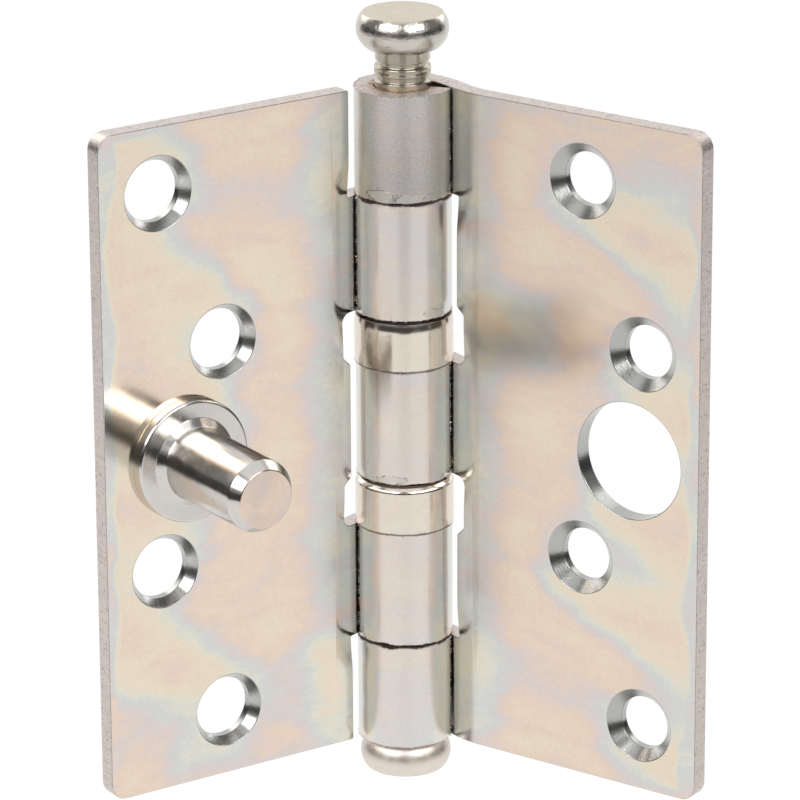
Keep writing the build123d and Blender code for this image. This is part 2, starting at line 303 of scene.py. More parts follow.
def new_piece(name, places, faces, normals, patterns, material):
    """A mesh object with its own normals and pattern attributes, at the origin."""
    mesh = bpy.data.meshes.new(name)
    mesh.from_pydata(places, [], faces)
    for pattern, values in patterns.items():
        attribute = mesh.attributes.new(pattern, "FLOAT_VECTOR", "POINT")
        attribute.data.foreach_set("vector", [part for value in values for part in value])
    mesh.materials.append(material)
    mesh.shade_smooth()
    mesh.normals_split_custom_set_from_vertices(normals)
    piece = bpy.data.objects.new(name, mesh)
    bpy.context.collection.objects.link(piece)
    return piece


def turned_piece(name, profile, base, along, around, material, closed=False):
    """A piece turned about an axis, from an open or closed profile of (radius, height) places and normals."""
    along = along.normalized()
    side = along.orthogonal().normalized()
    other = along.cross(side)
    places, normals, turned, ways, faces, rings = [], [], [], [], [], []
    for spot, normal in profile:
        count = around if spot.x > ON_AXIS else 1
        ring = []
        for step in range(count):
            turn = 2 * math.pi * step / around
            ray = math.cos(turn) * side + math.sin(turn) * other
            ring.append(len(places))
            places.append(base + along * spot.y + ray * spot.x)
            normals.append(ray * normal.x + along * normal.y if count > 1 else along * normal.y)
            turned.append((spot.x * math.cos(turn) / MM, spot.x * math.sin(turn) / MM, spot.y / MM))
            ways.append(along * normal.x - ray * normal.y)
        rings.append(ring)
    for lower, upper in zip(rings, rings[1:] + rings[:1] if closed else rings[1:]):
        for step in range(around):
            after = (step + 1) % around
            face = [lower[step % len(lower)], lower[after % len(lower)]]
            face += [upper[after % len(upper)], upper[step % len(upper)]]
            face = list(dict.fromkeys(face))
            if len(face) > 2:
                faces.append(face)
    return new_piece(name, places, faces, normals, {"turned_place": turned, "turned_way": ways}, material)


# Rolled leaves


class RolledLeaf:
    """One leaf: its bend line and the outline of its blank, in metres.

    Along the leaf, places are distances from the hinge axis; in the roll they go on below zero,
    measured along the middle of the sheet.
    """

    def __init__(self, sizes):
        self.sizes = sizes
        self.half = sizes.sheet / 2
        self.roll_radius = KNUCKLE_RADIUS - self.half
        self.centre_depth = sizes.flat_depth + self.half
        drop = self.roll_radius - self.centre_depth
        run = sizes.swage_end - sizes.swage_start
        swage_turn = 2 * math.atan2(drop, run)
        self.swage_radius = run / (2 * math.sin(swage_turn))
        arc = self.swage_radius * swage_turn
        self.flat_length = LEAF_REACH - sizes.swage_end
        self.dip_length = self.flat_length + arc
        self.rise_length = self.dip_length + arc
        self.root_length = self.rise_length + sizes.swage_start
        centre = Vector((sizes.swage_end, self.centre_depth + self.swage_radius))
        seam = self.swage_radius + self.half + sizes.seam_gap
        squares = KNUCKLE_RADIUS**2 + centre.length_squared - seam**2
        tuck = math.atan2(centre.y, centre.x) - math.acos(squares / (2 * KNUCKLE_RADIUS * centre.length))
        self.curl = -self.roll_radius * (1.5 * math.pi + tuck)
        self.total_length = self.root_length - self.curl

    def centre_line(self, distance):
        """Point and heading (from axis, depth) of the middle of the sheet, from the free edge inwards."""
        sizes, radius = self.sizes, self.swage_radius
        if distance <= self.flat_length:
            return Vector((LEAF_REACH - distance, self.centre_depth)), Vector((-1.0, 0.0))
        if distance <= self.dip_length:
            turn = (distance - self.flat_length) / radius
            centre = Vector((sizes.swage_end, self.centre_depth + radius))
            spot = centre - radius * Vector((math.sin(turn), math.cos(turn)))
            return spot, Vector((-math.cos(turn), math.sin(turn)))
        if distance <= self.rise_length:
            turn = (self.rise_length - distance) / radius
            centre = Vector((sizes.swage_start, self.roll_radius - radius))
            spot = centre + radius * Vector((math.sin(turn), math.cos(turn)))
            return spot, Vector((-math.cos(turn), math.sin(turn)))
        if distance <= self.root_length:
            return Vector((self.root_length - distance, self.roll_radius)), Vector((-1.0, 0.0))
        turn = math.pi / 2 + (distance - self.root_length) / self.roll_radius
        ray = Vector((math.cos(turn), math.sin(turn)))
        return self.roll_radius * ray, Vector((-ray.y, ray.x))

    def developed(self, place, depth):
        """Distance along the bend line of a place at a depth in the sheet."""
        if place >= self.sizes.swage_end:
            return LEAF_REACH - place
        if place <= 0:
            return self.root_length - place
        near, far = self.flat_length, self.root_length
        for _ in range(HALVINGS):
            middle = (near + far) / 2
            spot, heading = self.centre_line(middle)
            if spot.x + heading.y * (depth - self.half) > place:
                near = middle
            else:
                far = middle
        return (near + far) / 2

    def stations(self):
        """Places along the bent part where the mesh gets a row of points."""
        sizes = self.sizes
        clear, rows = sizes.notch_reach - ROLL_ROW, 13
        swage = [sizes.swage_end - ROLL_ROW * step for step in range(6)]
        root = [clear * (1 - step / rows) for step in range(rows + 1)]
        roll = [self.curl * step / ROLL_STEPS for step in range(1, ROLL_STEPS)]
        return swage + root + roll

    def outline(self, tabs, reliefs, body_top):
        """Corners (place, height, radius) of the blank, from its free top corner round by the knuckles."""
        sizes = self.sizes
        top = LEAF_HEIGHT / 2
        upper = [(LEAF_REACH, top, sizes.corner_radius)]
        if body_top:
            upper.append((sizes.notch_reach, top, SMALL_CORNER))
        for (high, low), (above, below) in zip(tabs, reliefs):
            if high < top:
                upper += self.relief_corners(high, above, 1)
            upper.append((self.curl, high, SMALL_CORNER))
            if low > -high:
                upper.append((self.curl, low, SMALL_CORNER))
                upper += self.relief_corners(low, below, -1)
        lower = [(place, -height, radius) for place, height, radius in reversed(upper)]
        return upper + lower

    def relief_corners(self, height, slant, way):
        """Corners where a tab meets its notch; way is 1 above the tab and -1 below.

        The slant that ends the deeper notch lies within the bearing space or past it; None is a plain notch.
        """
        sizes = self.sizes
        if slant is None:
            return [(sizes.notch_reach, height, SMALL_CORNER)]
        deep = sizes.notch_reach + sizes.relief_depth
        end = sizes.bearing_space + (sizes.relief_depth if slant == "past" else 0)
        far = end - sizes.relief_depth
        corners = [
            (sizes.notch_reach, height + way * end, SMALL_CORNER),
            (deep, height + way * far, SMALL_CORNER),
            (deep, height, sizes.relief_corner),
        ]
        return corners if way > 0 else corners[::-1]


def straight_side(start, end, stations):
    """Points along a side of an outline: at the stations if it is level, evenly spaced if not."""
    if abs(end.y - start.y) < LEVEL:
        low, high = sorted((start.x, end.x))
        points = [Vector((place, start.y)) for place in stations if low + TINY < place < high - TINY]
        return sorted(points, key=lambda spot: (spot - start).length)
    parts = int((end - start).length / (ROLL_ROW if start.x < 0 else SIDE_ROW))
    return [start.lerp(end, part / (parts + 1)) for part in range(1, parts + 1)]


def end_dip(spot, waviness, seed):
    """How far the uneven end of a knuckle dips at a spot."""
    wave = noise.noise(Vector((spot.x / WAVE_ALONG, spot.y / WAVE_UP, seed)))
    torn = TORN_SHARE if TORN_LOW < abs(spot.y) < TORN_HIGH else 1.0
    return waviness * torn * max(LEAST_DIP, WAVE_DEPTH - wave) * min(1.0, (END_REACH - spot.x) / END_FADE)


def rounded_loop(corners, stations, waviness, seed):
    """Closed outline of a blank with rounded corners: points, outward normals and mitre factors."""
    spots = [Vector(corner[:2]) for corner in corners]
    arcs = []
    for index, (_, _, radius) in enumerate(corners):
        arc = rounded_corner(spots[index - 1], spots[index], spots[(index + 1) % len(spots)], radius)
        arcs.append([spot for spot, _ in arc])
    points = []
    for arc, after in zip(arcs, arcs[1:] + arcs[:1]):
        points += arc + straight_side(arc[-1], after[0], stations)
    loop = []
    for index, spot in enumerate(points):
        ahead = (points[(index + 1) % len(points)] - spot).normalized()
        behind = (spot - points[index - 1]).normalized()
        normal = right_of((ahead + behind).normalized())
        mitre = 1 / max(0.5, normal.dot(right_of(ahead)))
        if abs(normal.y) > 0.9 and spot.x < END_REACH:
            spot = spot - Vector((0, math.copysign(end_dip(spot, waviness, seed), normal.y)))
        loop.append((spot, normal, mitre))
    return loop


def inside(spot, loop):
    """True if a spot lies inside a closed loop of spots."""
    hit = False
    for (ax, ay), (bx, by) in zip(loop, loop[1:] + loop[:1]):
        if (ay > spot[1]) != (by > spot[1]) and spot[0] < (bx - ax) * (spot[1] - ay) / (by - ay) + ax:
            hit = not hit
    return hit


class BlankMesh:
    """Flat blank of a leaf, laid out along, through and up, with its normals and pattern places."""

    def __init__(self, leaf, tabs):
        self.leaf = leaf
        self.tabs = tabs
        self.points, self.normals, self.places, self.zones, self.bends, self.faces = [], [], [], [], [], []

    def bend(self, height):
        """Share of the swage at a height, and how fast it changes: all of it beside a knuckle."""
        fade = self.leaf.sizes.swage_fade
        best = (0.0, 0.0, 0.0)
        for high, low in self.tabs:
            beyond = max(low - height, height - high, 0.0)
            part = max(0.0, 1 - beyond / fade)
            slope = 6 * part * (1 - part) / fade * (1 if height < low else -1)
            best = max(best, (part * part * (3 - 2 * part), slope, 0.0))
        return best

    def add(self, spot, depth, normal, zone):
        """One point of the blank; the zone weighs die roll, sheared wall and hole."""
        leaf = self.leaf
        self.points.append((LEAF_REACH - leaf.developed(spot.x, depth), depth, spot.y))
        self.normals.append(normal)
        self.places.append((spot.x / MM, spot.y / MM, depth / MM))
        self.zones.append(zone)
        self.bends.append(self.bend(spot.y) if spot.x > leaf.sizes.notch_reach else (1.0, 0.0, 0.0))
        return len(self.points) - 1

    def wall(self, rings):
        """Faces between rings that go from the front to the back."""
        for front, back in zip(rings, rings[1:]):
            for index in range(len(front)):
                after = (index + 1) % len(front)
                self.faces.append((front[index], back[index], back[after], front[after]))

    def cap(self, outer, holes, columns, front):
        """Triangles that fill the face between an outer ring and its holes."""
        flat = {index: Vector(self.places[index][:2]) for ring in [outer, *holes] for index in ring}
        edges = [(a, b) for ring in [outer, *holes] for a, b in zip(ring, ring[1:] + ring[:1])]
        depth = self.places[outer[0]][2] * MM
        normal = self.normals[outer[0]]
        edge_of = {}
        for index in outer:
            edge_of.setdefault(round(flat[index].x, 5), []).append(index)
        for column, spacing in columns:
            ends = sorted(edge_of.get(round(column / MM, 5), []), key=lambda index: flat[index].y)
            for low, high in zip(ends[::2], ends[1::2]):
                parts = int((flat[high].y - flat[low].y) * MM / spacing) if spacing else 0
                line = [low]
                for part in range(1, parts):
                    height = flat[low].y + (flat[high].y - flat[low].y) * part / parts
                    line.append(self.add(Vector((column, height * MM)), depth, normal, (0, 0, 0)))
                    flat[line[-1]] = Vector((column / MM, height))
                line.append(high)
                edges += list(zip(line, line[1:]))
        order = list(flat)
        at = {index: spot for spot, index in enumerate(order)}
        spots = [flat[index] for index in order]
        links = [(at[a], at[b]) for a, b in edges]
        filled, _, triangles, origin, _, _ = delaunay_2d_cdt(spots, links, [], 0, TINY)
        if any(not names for names in origin):
            raise RuntimeError("the blank's outline crosses itself")
        rim = [tuple(flat[index]) for index in outer]
        gaps = [[tuple(flat[index]) for index in ring] for ring in holes]
        for triangle in triangles:
            middle = sum((filled[corner] for corner in triangle), Vector((0, 0))) / len(triangle)
            if inside(middle, rim) and not any(inside(middle, gap) for gap in gaps):
                face = [order[origin[corner][0]] for corner in triangle]
                self.faces.append(tuple(face) if front else tuple(reversed(face)))


def edge_profile(sheet, front, back):
    """Places (minus depth, inset) and normals through a sheared edge, from the front to the back."""
    spare = 1.001 / CORNER_ROOM
    corners = [(-front * spare, 0), (0, 0), (0, sheet), (-back * spare, sheet)]
    return rounded_profile([(-depth, inset) for inset, depth in corners], (front, back))[1:-1]


def hole_profile(sizes, radius, sunk):
    """Places (minus depth, radius) and normals through a hole, from the front to the back."""
    corners = [(radius + sunk + MM, 0), (radius + sunk, 0)]
    radii = [HOLE_RIM]
    if sunk:
        corners.append((radius, sizes.countersink_depth))
        radii.append(SINK_FOOT)
    corners += [(radius, sizes.sheet), (radius + MM, sizes.sheet)]
    radii.append(HOLE_BACK)
    return rounded_profile([(-depth, spot) for spot, depth in corners], radii)[1:-1]


def edge_rings(blank, loop):
    """Rings of points through the sheared edge of a blank, from its front face to its back face."""
    sizes = blank.leaf.sizes
    rings = None
    for spot, normal, mitre in loop:
        blend = min(1.0, max(0.0, (spot.x - END_REACH) / ROUNDING_FADE))
        front = sizes.end_rounding + (sizes.edge_rounding - sizes.end_rounding) * blend
        profile = edge_profile(sizes.sheet, front, sizes.back_rounding)
        rings = rings or [[] for _ in profile]
        half = len(profile) // 2
        for level, (ring, (place, facing)) in enumerate(zip(rings, profile)):
            out, forward = facing.y, facing.x
            rolled = level if spot.x > ROLL_START else level - half
            roll = max(0.0, math.sin(math.pi * rolled / (half - 1))) if -1 < rolled < half else 0.0
            wall = min(1.0, max(0.0, out)) ** 4
            where = spot + normal * (place.y * mitre)
            outward = (normal.x * out, -forward, normal.y * out)
            ring.append(blank.add(where, -place.x, outward, (roll, wall, 0)))
    return rings


def hole_rings(blank, place, height, radius, sunk):
    """Rings of points through a hole of a blank, from its front face to its back face."""
    profile = hole_profile(blank.leaf.sizes, radius, sunk)
    rings = []
    for level, (spot, facing) in enumerate(profile):
        ring = []
        zone = (0, 0, 1 if 0 < level < len(profile) - 1 else 0)
        for step in range(HOLE_STEPS):
            turn = -2 * math.pi * step / HOLE_STEPS
            ray = Vector((math.cos(turn), math.sin(turn)))
            normal = (-ray.x * facing.y, facing.x, -ray.y * facing.y)
            ring.append(blank.add(Vector((place, height)) + ray * spot.y, -spot.x, normal, zone))
        rings.append(ring)
    return rings


def leaf_blank(leaf, tabs, corners, holes, seed):
    """Blank mesh of a leaf, with rounded edges, countersinks and rows of points where it bends."""
    sizes = leaf.sizes
    blank = BlankMesh(leaf, tabs + [(-low, -high) for high, low in tabs])
    rings = edge_rings(blank, rounded_loop(corners, leaf.stations(), sizes.end_waviness, seed))
    gaps = [hole_rings(blank, *hole) for hole in holes]
    for circle in [rings, *gaps]:
        blank.wall(circle)
    columns = []
    for place in leaf.stations():
        swaged = sizes.notch_reach < place < sizes.swage_end - MM
        columns.append((place, SIDE_ROW if swaged else 0))
    blank.cap(rings[0], [gap[0] for gap in gaps], columns, True)
    blank.cap(rings[-1], [gap[-1] for gap in gaps], columns, False)
    return blank


def tree_socket(tree, name, kind, way="INPUT"):
    """A named socket on a node tree's interface."""
    return tree.interface.new_socket(name, in_out=way, socket_type="NodeSocket" + kind)


class Layout:
    """Short hand for laying out one node tree."""

    def __init__(self, tree):
        self.tree = tree

    def add(self, kind, inputs=None, **settings):
        """A node with its settings and inputs; an input is a value or another node's output."""
        node = self.tree.nodes.new(kind)
        for name, value in settings.items():
            setattr(node, name, value)
        for name, value in (inputs or {}).items():
            self.feed(node.inputs[name], value)
        return node

    def feed(self, socket, value):
        """Link an output to a socket, or set the socket's own value."""
        if isinstance(value, bpy.types.NodeSocket):
            self.tree.links.new(value, socket)
        else:
            socket.default_value = value

    def math(self, operation, first, second=0.0, third=0.0, clamp=False):
        """Output of a Math node."""
        inputs = {0: first, 1: second, 2: third}
        return self.add("ShaderNodeMath", inputs, operation=operation, use_clamp=clamp).outputs[0]

    def times(self, first, second, clamp=False):
        """Product of two values."""
        return self.math("MULTIPLY", first, second, clamp=clamp)

    def plus(self, first, second, clamp=False):
        """Sum of two values."""
        return self.math("ADD", first, second, clamp=clamp)

    def minus(self, first, second):
        """Difference of two values."""
        return self.math("SUBTRACT", first, second)

    def times_plus(self, first, second, third):
        """Product of two values, and a third added to it."""
        return self.math("MULTIPLY_ADD", first, second, third)

    def away(self, value, mark):
        """How far a value lies from a mark, on either side."""
        return self.math("ABSOLUTE", self.minus(value, mark))

    def vector(self, operation, first, second=(0, 0, 0), scale=None):
        """Output of a Vector Math node."""
        node = self.add("ShaderNodeVectorMath", {0: first, 1: second}, operation=operation)
        if scale is not None:
            self.feed(node.inputs["Scale"], scale)
        value = operation in {"LENGTH", "DOT_PRODUCT"}
        return node.outputs["Value" if value else "Vector"]

    def spread(self, value, low, high, new_low=0.0, new_high=1.0, smooth=True):
        """A value moved from one range to another."""
        inputs = {"Value": value, 1: low, 2: high, 3: new_low, 4: new_high}
        kind = "SMOOTHSTEP" if smooth else "LINEAR"
        return self.add("ShaderNodeMapRange", inputs, interpolation_type=kind, clamp=True).outputs[0]

    def noise(self, place, scale, detail=2.0, roughness=0.5, output=0):
        """Output of a noise texture."""
        inputs = {"Vector": place, "Scale": scale, "Detail": detail, "Roughness": roughness}
        return self.add("ShaderNodeTexNoise", inputs).outputs[output]

    def blend(self, factor, first, second):
        """Mixed colour."""
        node = self.add("ShaderNodeMix", data_type="RGBA")
        self.feed(node.inputs["Factor"], factor)
        self.feed(node.inputs[6], first)
        self.feed(node.inputs[7], second)
        return node.outputs[2]

    def mapping(self, place, location=(0, 0, 0), rotation=(0, 0, 0), scale=(1, 1, 1)):
        """A pattern place moved, turned and stretched."""
        inputs = {"Vector": place, "Location": location, "Rotation": rotation, "Scale": scale}
        return self.add("ShaderNodeMapping", inputs).outputs[0]

    def split(self, place):
        """X, Y and Z outputs of a place."""
        return self.add("ShaderNodeSeparateXYZ", {0: place}).outputs

    def join(self, x=0.0, y=0.0, z=0.0):
        """A place from its X, Y and Z."""
        return self.add("ShaderNodeCombineXYZ", {0: x, 1: y, 2: z}).outputs[0]


def kept(lay, name):
    """Vector attribute of a geometry, by name."""
    node = lay.add("GeometryNodeInputNamedAttribute", {"Name": name}, data_type="FLOAT_VECTOR")
    return node.outputs[0]


def laid_along(lay, path, up, distance, run, through, height, facing):
    """Place, normal and inward way of a blank's point along a path, then straight on for a run."""
    sample = lay.add("GeometryNodeSampleCurve", {"Curves": path, "Length": distance}, mode="LENGTH")
    sample.use_all_curves = True
    heading = sample.outputs["Tangent"]
    inward = lay.vector("CROSS_PRODUCT", heading, up)
    spot = lay.vector("ADD", sample.outputs["Position"], lay.vector("SCALE", heading, scale=run))
    spot = lay.vector("ADD", spot, lay.vector("SCALE", inward, scale=through))
    spot = lay.vector("ADD", spot, lay.vector("SCALE", up, scale=height))
    turned = lay.vector("SCALE", heading, scale=lay.times(facing[0], -1.0))
    turned = lay.vector("ADD", turned, lay.vector("SCALE", inward, scale=facing[1]))
    turned = lay.vector("ADD", turned, lay.vector("SCALE", up, scale=facing[2]))
    return spot, turned, inward


def geometry_tree(name, inputs):
    """An empty geometry node tree with named inputs: its layout and its inputs."""
    tree = bpy.data.node_groups.new(name, "GeometryNodeTree")
    for socket, kind in inputs:
        tree_socket(tree, socket, kind)
    tree_socket(tree, "Made", "Geometry", "OUTPUT")
    lay = Layout(tree)
    return lay, lay.add("NodeGroupInput").outputs


def finished_tree(lay, geometry, finish):
    """End a geometry node tree in real faces that have their finish."""
    whole = lay.add("GeometryNodeRealizeInstances", {"Geometry": geometry}).outputs[0]
    done = lay.add("GeometryNodeSetMaterial", {"Geometry": whole, "Material": finish}).outputs[0]
    lay.feed(lay.add("NodeGroupOutput").inputs[0], done)
    return lay.tree


def roll_tree():
    """Geometry nodes that bend a flat blank along a path, keeping its normals."""
    inputs = [("Blank", "Geometry"), ("Path", "Object"), ("Reach", "Float"), ("Half sheet", "Float")]
    inputs += [("Up", "Vector"), ("Finish", "Material")]
    lay, given = geometry_tree("roll_blank_along_path", inputs)
    path = lay.add("GeometryNodeObjectInfo", {"Object": given["Path"]}).outputs["Geometry"]
    x, y, z = lay.split(lay.add("GeometryNodeInputPosition").outputs[0])
    flat = lay.split(kept(lay, "facing"))
    share, slope, _ = lay.split(kept(lay, "bend"))
    reach, _, _ = lay.split(kept(lay, "leaf_place"))
    through = lay.minus(y, given["Half sheet"])
    distance = lay.minus(given["Reach"], x)
    bent, bent_facing, _ = laid_along(lay, path, given["Up"], distance, 0.0, through, z, flat)
    run = lay.times_plus(reach, -MM, given["Reach"])
    straight, straight_facing, inward = laid_along(lay, path, given["Up"], 0.0, run, through, z, flat)
    swage = lay.vector("SUBTRACT", bent, straight)
    place = lay.vector("ADD", straight, lay.vector("SCALE", swage, scale=share))
    lean = lay.times(slope, lay.vector("DOT_PRODUCT", swage, inward))
    lean = lay.times(lean, lay.times(flat[1], -1.0))
    turned = lay.vector("SCALE", lay.vector("SUBTRACT", bent_facing, straight_facing), scale=share)
    turned = lay.vector("ADD", straight_facing, turned)
    turned = lay.vector("ADD", turned, lay.vector("SCALE", given["Up"], scale=lean))
    turned = lay.vector("NORMALIZE", turned)
    keep = lay.add("GeometryNodeStoreNamedAttribute", data_type="FLOAT_VECTOR", domain="POINT")
    lay.feed(keep.inputs["Geometry"], given["Blank"])
    lay.feed(keep.inputs["Name"], "facing")
    lay.feed(keep.inputs["Value"], turned)
    rolled = lay.add("GeometryNodeSetPosition", {"Geometry": keep.outputs[0], "Position": place}).outputs[0]
    return finished_tree(lay, rolled, given["Finish"])


def burr_tree():
    """Geometry nodes that leave crumbs of burr along the sheared ends of the knuckles."""
    inputs = [("Leaf", "Geometry"), ("Size", "Float"), ("Share", "Float"), ("Seed", "Int")]
    inputs.append(("Finish", "Material"))
    lay, given = geometry_tree("burr_along_ends", inputs)
    roll, _, _ = lay.split(kept(lay, "leaf_zone"))
    x, _, _ = lay.split(kept(lay, "leaf_place"))
    chance = lay.add("FunctionNodeRandomValue", {"Seed": given["Seed"]}, data_type="FLOAT").outputs[1]
    pick = lay.math("LESS_THAN", chance, given["Share"])
    pick = lay.times(pick, lay.math("GREATER_THAN", roll, 0.5))
    pick = lay.times(pick, lay.math("LESS_THAN", x, ROLL_START / MM))
    spots = lay.add("GeometryNodeMeshToPoints", {"Mesh": given["Leaf"], "Selection": pick}).outputs[0]
    crumb = lay.add("GeometryNodeMeshIcoSphere", {"Radius": given["Size"], "Subdivisions": 1}).outputs[0]
    placed = lay.add("GeometryNodeInstanceOnPoints", {"Points": spots, "Instance": crumb})
    ranges = {"Rotation": ((0, 0, 0), (6.28, 6.28, 6.28)), "Scale": ((0.3, 0.3, 0.2), (1.5, 0.9, 0.7))}
    for socket, (least, most) in ranges.items():
        draw = lay.add("FunctionNodeRandomValue", {"Seed": given["Seed"]}, data_type="FLOAT_VECTOR")
        lay.feed(draw.inputs["Min"], least)
        lay.feed(draw.inputs["Max"], most)
        lay.feed(placed.inputs[socket], draw.outputs[0])
    return finished_tree(lay, placed.outputs[0], given["Finish"])


def baked(piece, tree, **inputs):
    """Run a node tree on a piece and keep its result as a plain mesh."""
    modifier = piece.modifiers.new("make", "NODES")
    modifier.node_group = tree
    names = {socket.name: socket.identifier for socket in tree.interface.items_tree}
    for name, value in inputs.items():
        modifier[names[name.replace("_", " ")]] = value
    graph = bpy.context.evaluated_depsgraph_get()
    mesh = bpy.data.meshes.new_from_object(piece.evaluated_get(graph))
    piece.modifiers.remove(modifier)
    mesh.name = piece.name
    piece.data = mesh
    return piece


def path_curve(name, spots):
    """A straight-run curve through closely set spots."""
    curve = bpy.data.curves.new(name, "CURVE")
    curve.dimensions = "3D"
    spline = curve.splines.new("POLY")
    spline.points.add(len(spots) - 1)
    for point, spot in zip(spline.points, spots):
        point.co = (*spot, 1.0)
    path = bpy.data.objects.new(name, curve)
    bpy.context.collection.objects.link(path)
    return path


def rolled_leaf(name, leaf, blank, directions, tree, material):
    """Bend a blank along its leaf's centre line and keep it as a plain mesh."""
    outward, inward, way = directions
    run = leaf.total_length * 1.001
    spots = []
    for step in range(PATH_STEPS + 1):
        spot, _ = leaf.centre_line(run * step / PATH_STEPS)
        spots.append(AXIS + outward * spot.x + inward * spot.y)
    path = path_curve(name + "_path", spots)
    patterns = {"leaf_place": blank.places, "leaf_zone": blank.zones}
    patterns.update({"facing": blank.normals, "bend": blank.bends})
    piece = new_piece(name, blank.points, blank.faces, blank.normals, patterns, material)
    baked(piece, tree, Path=path, Reach=LEAF_REACH, Half_sheet=leaf.half, Up=(0, 0, way), Finish=material)
    bpy.data.objects.remove(path)
    mesh = piece.data
    facing = [0.0] * (3 * len(mesh.vertices))
    mesh.attributes["facing"].data.foreach_get("vector", facing)
    for pattern in ("facing", "bend"):
        mesh.attributes.remove(mesh.attributes[pattern])
    mesh.shade_smooth()
    mesh.normals_split_custom_set_from_vertices([facing[at : at + 3] for at in range(0, len(facing), 3)])
    return piece


# Finishes


def shader_group(name, inputs, outputs):
    """An empty shader node group with named sockets: its layout, its inputs and its outputs."""
    tree = bpy.data.node_groups.new(name, "ShaderNodeTree")
    for socket, kind, value in inputs:
        made = tree_socket(tree, socket, kind)
        if value is not None:
            made.default_value = value
    for socket, kind in outputs:
        tree_socket(tree, socket, kind, "OUTPUT")
    lay = Layout(tree)
    return lay, lay.add("NodeGroupInput").outputs, lay.add("NodeGroupOutput").inputs


def opaque(base, share=1.0):
    """A colour with its alpha, made lighter or darker by a share."""
    return (*[part * share for part in base], 1.0)


def drained_place(lay, place, scale, reach):
    """A place moved about by slow noise, as a film drains."""
    warp = lay.vector("SUBTRACT", lay.noise(place, scale, 1.0, output=1), (0.5, 0.5, 0.5))
    return lay.vector("ADD", place, lay.vector("SCALE", warp, scale=reach))


def film_group(finish):
    """Iridescent passivate film: a thickness, made uneven by draining, turned into a colour."""
    inputs = [("Place", "Vector", None), ("Thickness", "Float", 0.5), ("Swing", "Float", 0.5)]
    lay, given, out = shader_group("passivate_film", inputs, [("Color", "Color")])
    place = given["Place"]
    drained = drained_place(lay, place, 0.05, 14.0)
    broad = lay.mapping(drained, rotation=(0, 0, math.radians(16)), scale=(0.03, 0.085, 0.1))
    fine = lay.mapping(drained, rotation=(0, 0, math.radians(12)), scale=(0.09, 0.42, 0.3))
    streaks = [(lay.noise(broad, 1.0, 1.0), 2.6), (lay.noise(fine, 1.0, 1.5), 1.4)]
    speckle = (lay.noise(place, 1.1, 4.0, 0.7), 1.3)
    film = given["Thickness"]
    for part, share in [*streaks, speckle]:
        film = lay.times_plus(lay.minus(part, 0.5), lay.times(given["Swing"], share), film)
    ramp = lay.add("ShaderNodeValToRGB", {0: lay.math("FRACT", film)})
    order = [finish.cream, finish.pink, finish.lavender, finish.blue_grey, finish.pale_green, finish.cream]
    stops = [0.08, 0.32, 0.48, 0.64, 0.8, 0.95]
    while len(ramp.color_ramp.elements) < len(stops):
        ramp.color_ramp.elements.new(0.5)
    for element, stop, value in zip(ramp.color_ramp.elements, stops, order):
        element.position = stop
        element.color = opaque(value)
    lay.feed(out["Color"], ramp.outputs[0])
    return lay.tree


def grain_group():
    """Fine plating grain: a height for bump and a mottle for colour and gloss."""
    inputs = [("Place", "Vector", None), ("Size", "Float", 0.3)]
    lay, given, out = shader_group("plating_grain", inputs, [("Height", "Float"), ("Mottle", "Float")])
    scale = lay.math("DIVIDE", 1.0, given["Size"])
    fine = lay.noise(given["Place"], scale, 3.0, 0.65)
    broad = lay.noise(given["Place"], lay.times(scale, 0.12), 3.0, 0.6)
    lay.feed(out["Height"], fine)
    lay.feed(out["Mottle"], broad)
    return lay.tree


def wear_and_shade_group():
    """Broken-up dark marks along an edge, partly chipped plating and partly painted shade of the rolled edge:
    a mask from an edge weight and two scales of noise.
    """
    inputs = [("Place", "Vector", None), ("Edge", "Float", 0.0), ("Amount", "Float", 0.5)]
    lay, given, out = shader_group("edge_wear", inputs, [("Mask", "Float")])
    patch = lay.noise(given["Place"], 0.9, 4.0, 0.65)
    edge_marks_and_shade = lay.noise(given["Place"], 4.0, 2.0, 0.6)
    rough = lay.times_plus(edge_marks_and_shade, 0.4, lay.times(patch, 0.8))
    level = lay.plus(given["Edge"], lay.minus(given["Amount"], 1.0))
    mask = lay.spread(lay.plus(level, rough), 0.55, 0.85)
    lay.feed(out["Mask"], lay.times(mask, given["Edge"], clamp=True))
    return lay.tree


def turning_group():
    """Fine lines left by turning: a height that changes along a profile and hardly round it."""
    inputs = [("Place", "Vector", None), ("Pitch", "Float", 0.12)]
    lay, given, out = shader_group("turning_lines", inputs, [("Height", "Float"), ("Mottle", "Float")])
    x, y, z = lay.split(given["Place"])
    radius = lay.math("SQRT", lay.plus(lay.times(x, x), lay.times(y, y)))
    along = lay.math("DIVIDE", lay.plus(radius, z), given["Pitch"])
    lines = lay.noise(lay.join(lay.times(x, 0.15), lay.times(y, 0.15), along), 1.0, 2.0)
    lay.feed(out["Height"], lines)
    lay.feed(out["Mottle"], lay.noise(given["Place"], 0.8, 4.0, 0.6))
    return lay.tree


GROUPS = {}


def effect(lay, name, **inputs):
    """Place a shared effect in a material and give back its outputs."""
    node = lay.add("ShaderNodeGroup", node_tree=GROUPS[name])
    for socket, value in inputs.items():
        lay.feed(node.inputs[socket], value)
    return node.outputs


def new_finish(name):
    """A material with a metallic shader: the material, its layout and the shader."""
    material = bpy.data.materials.new(name)
    material.use_nodes = True
    lay = Layout(material.node_tree)
    shader = lay.tree.nodes["Principled BSDF"]
    shader.inputs["Metallic"].default_value = 1.0
    return material, lay, shader


def bumped(lay, shader, height, depth):
    """Feed a height to the shader's normal; depth is its unit in millimetres."""
    inputs = {"Strength": 1.0, "Distance": depth * MM, "Height": height}
    lay.feed(shader.inputs["Normal"], lay.add("ShaderNodeBump", inputs).outputs[0])


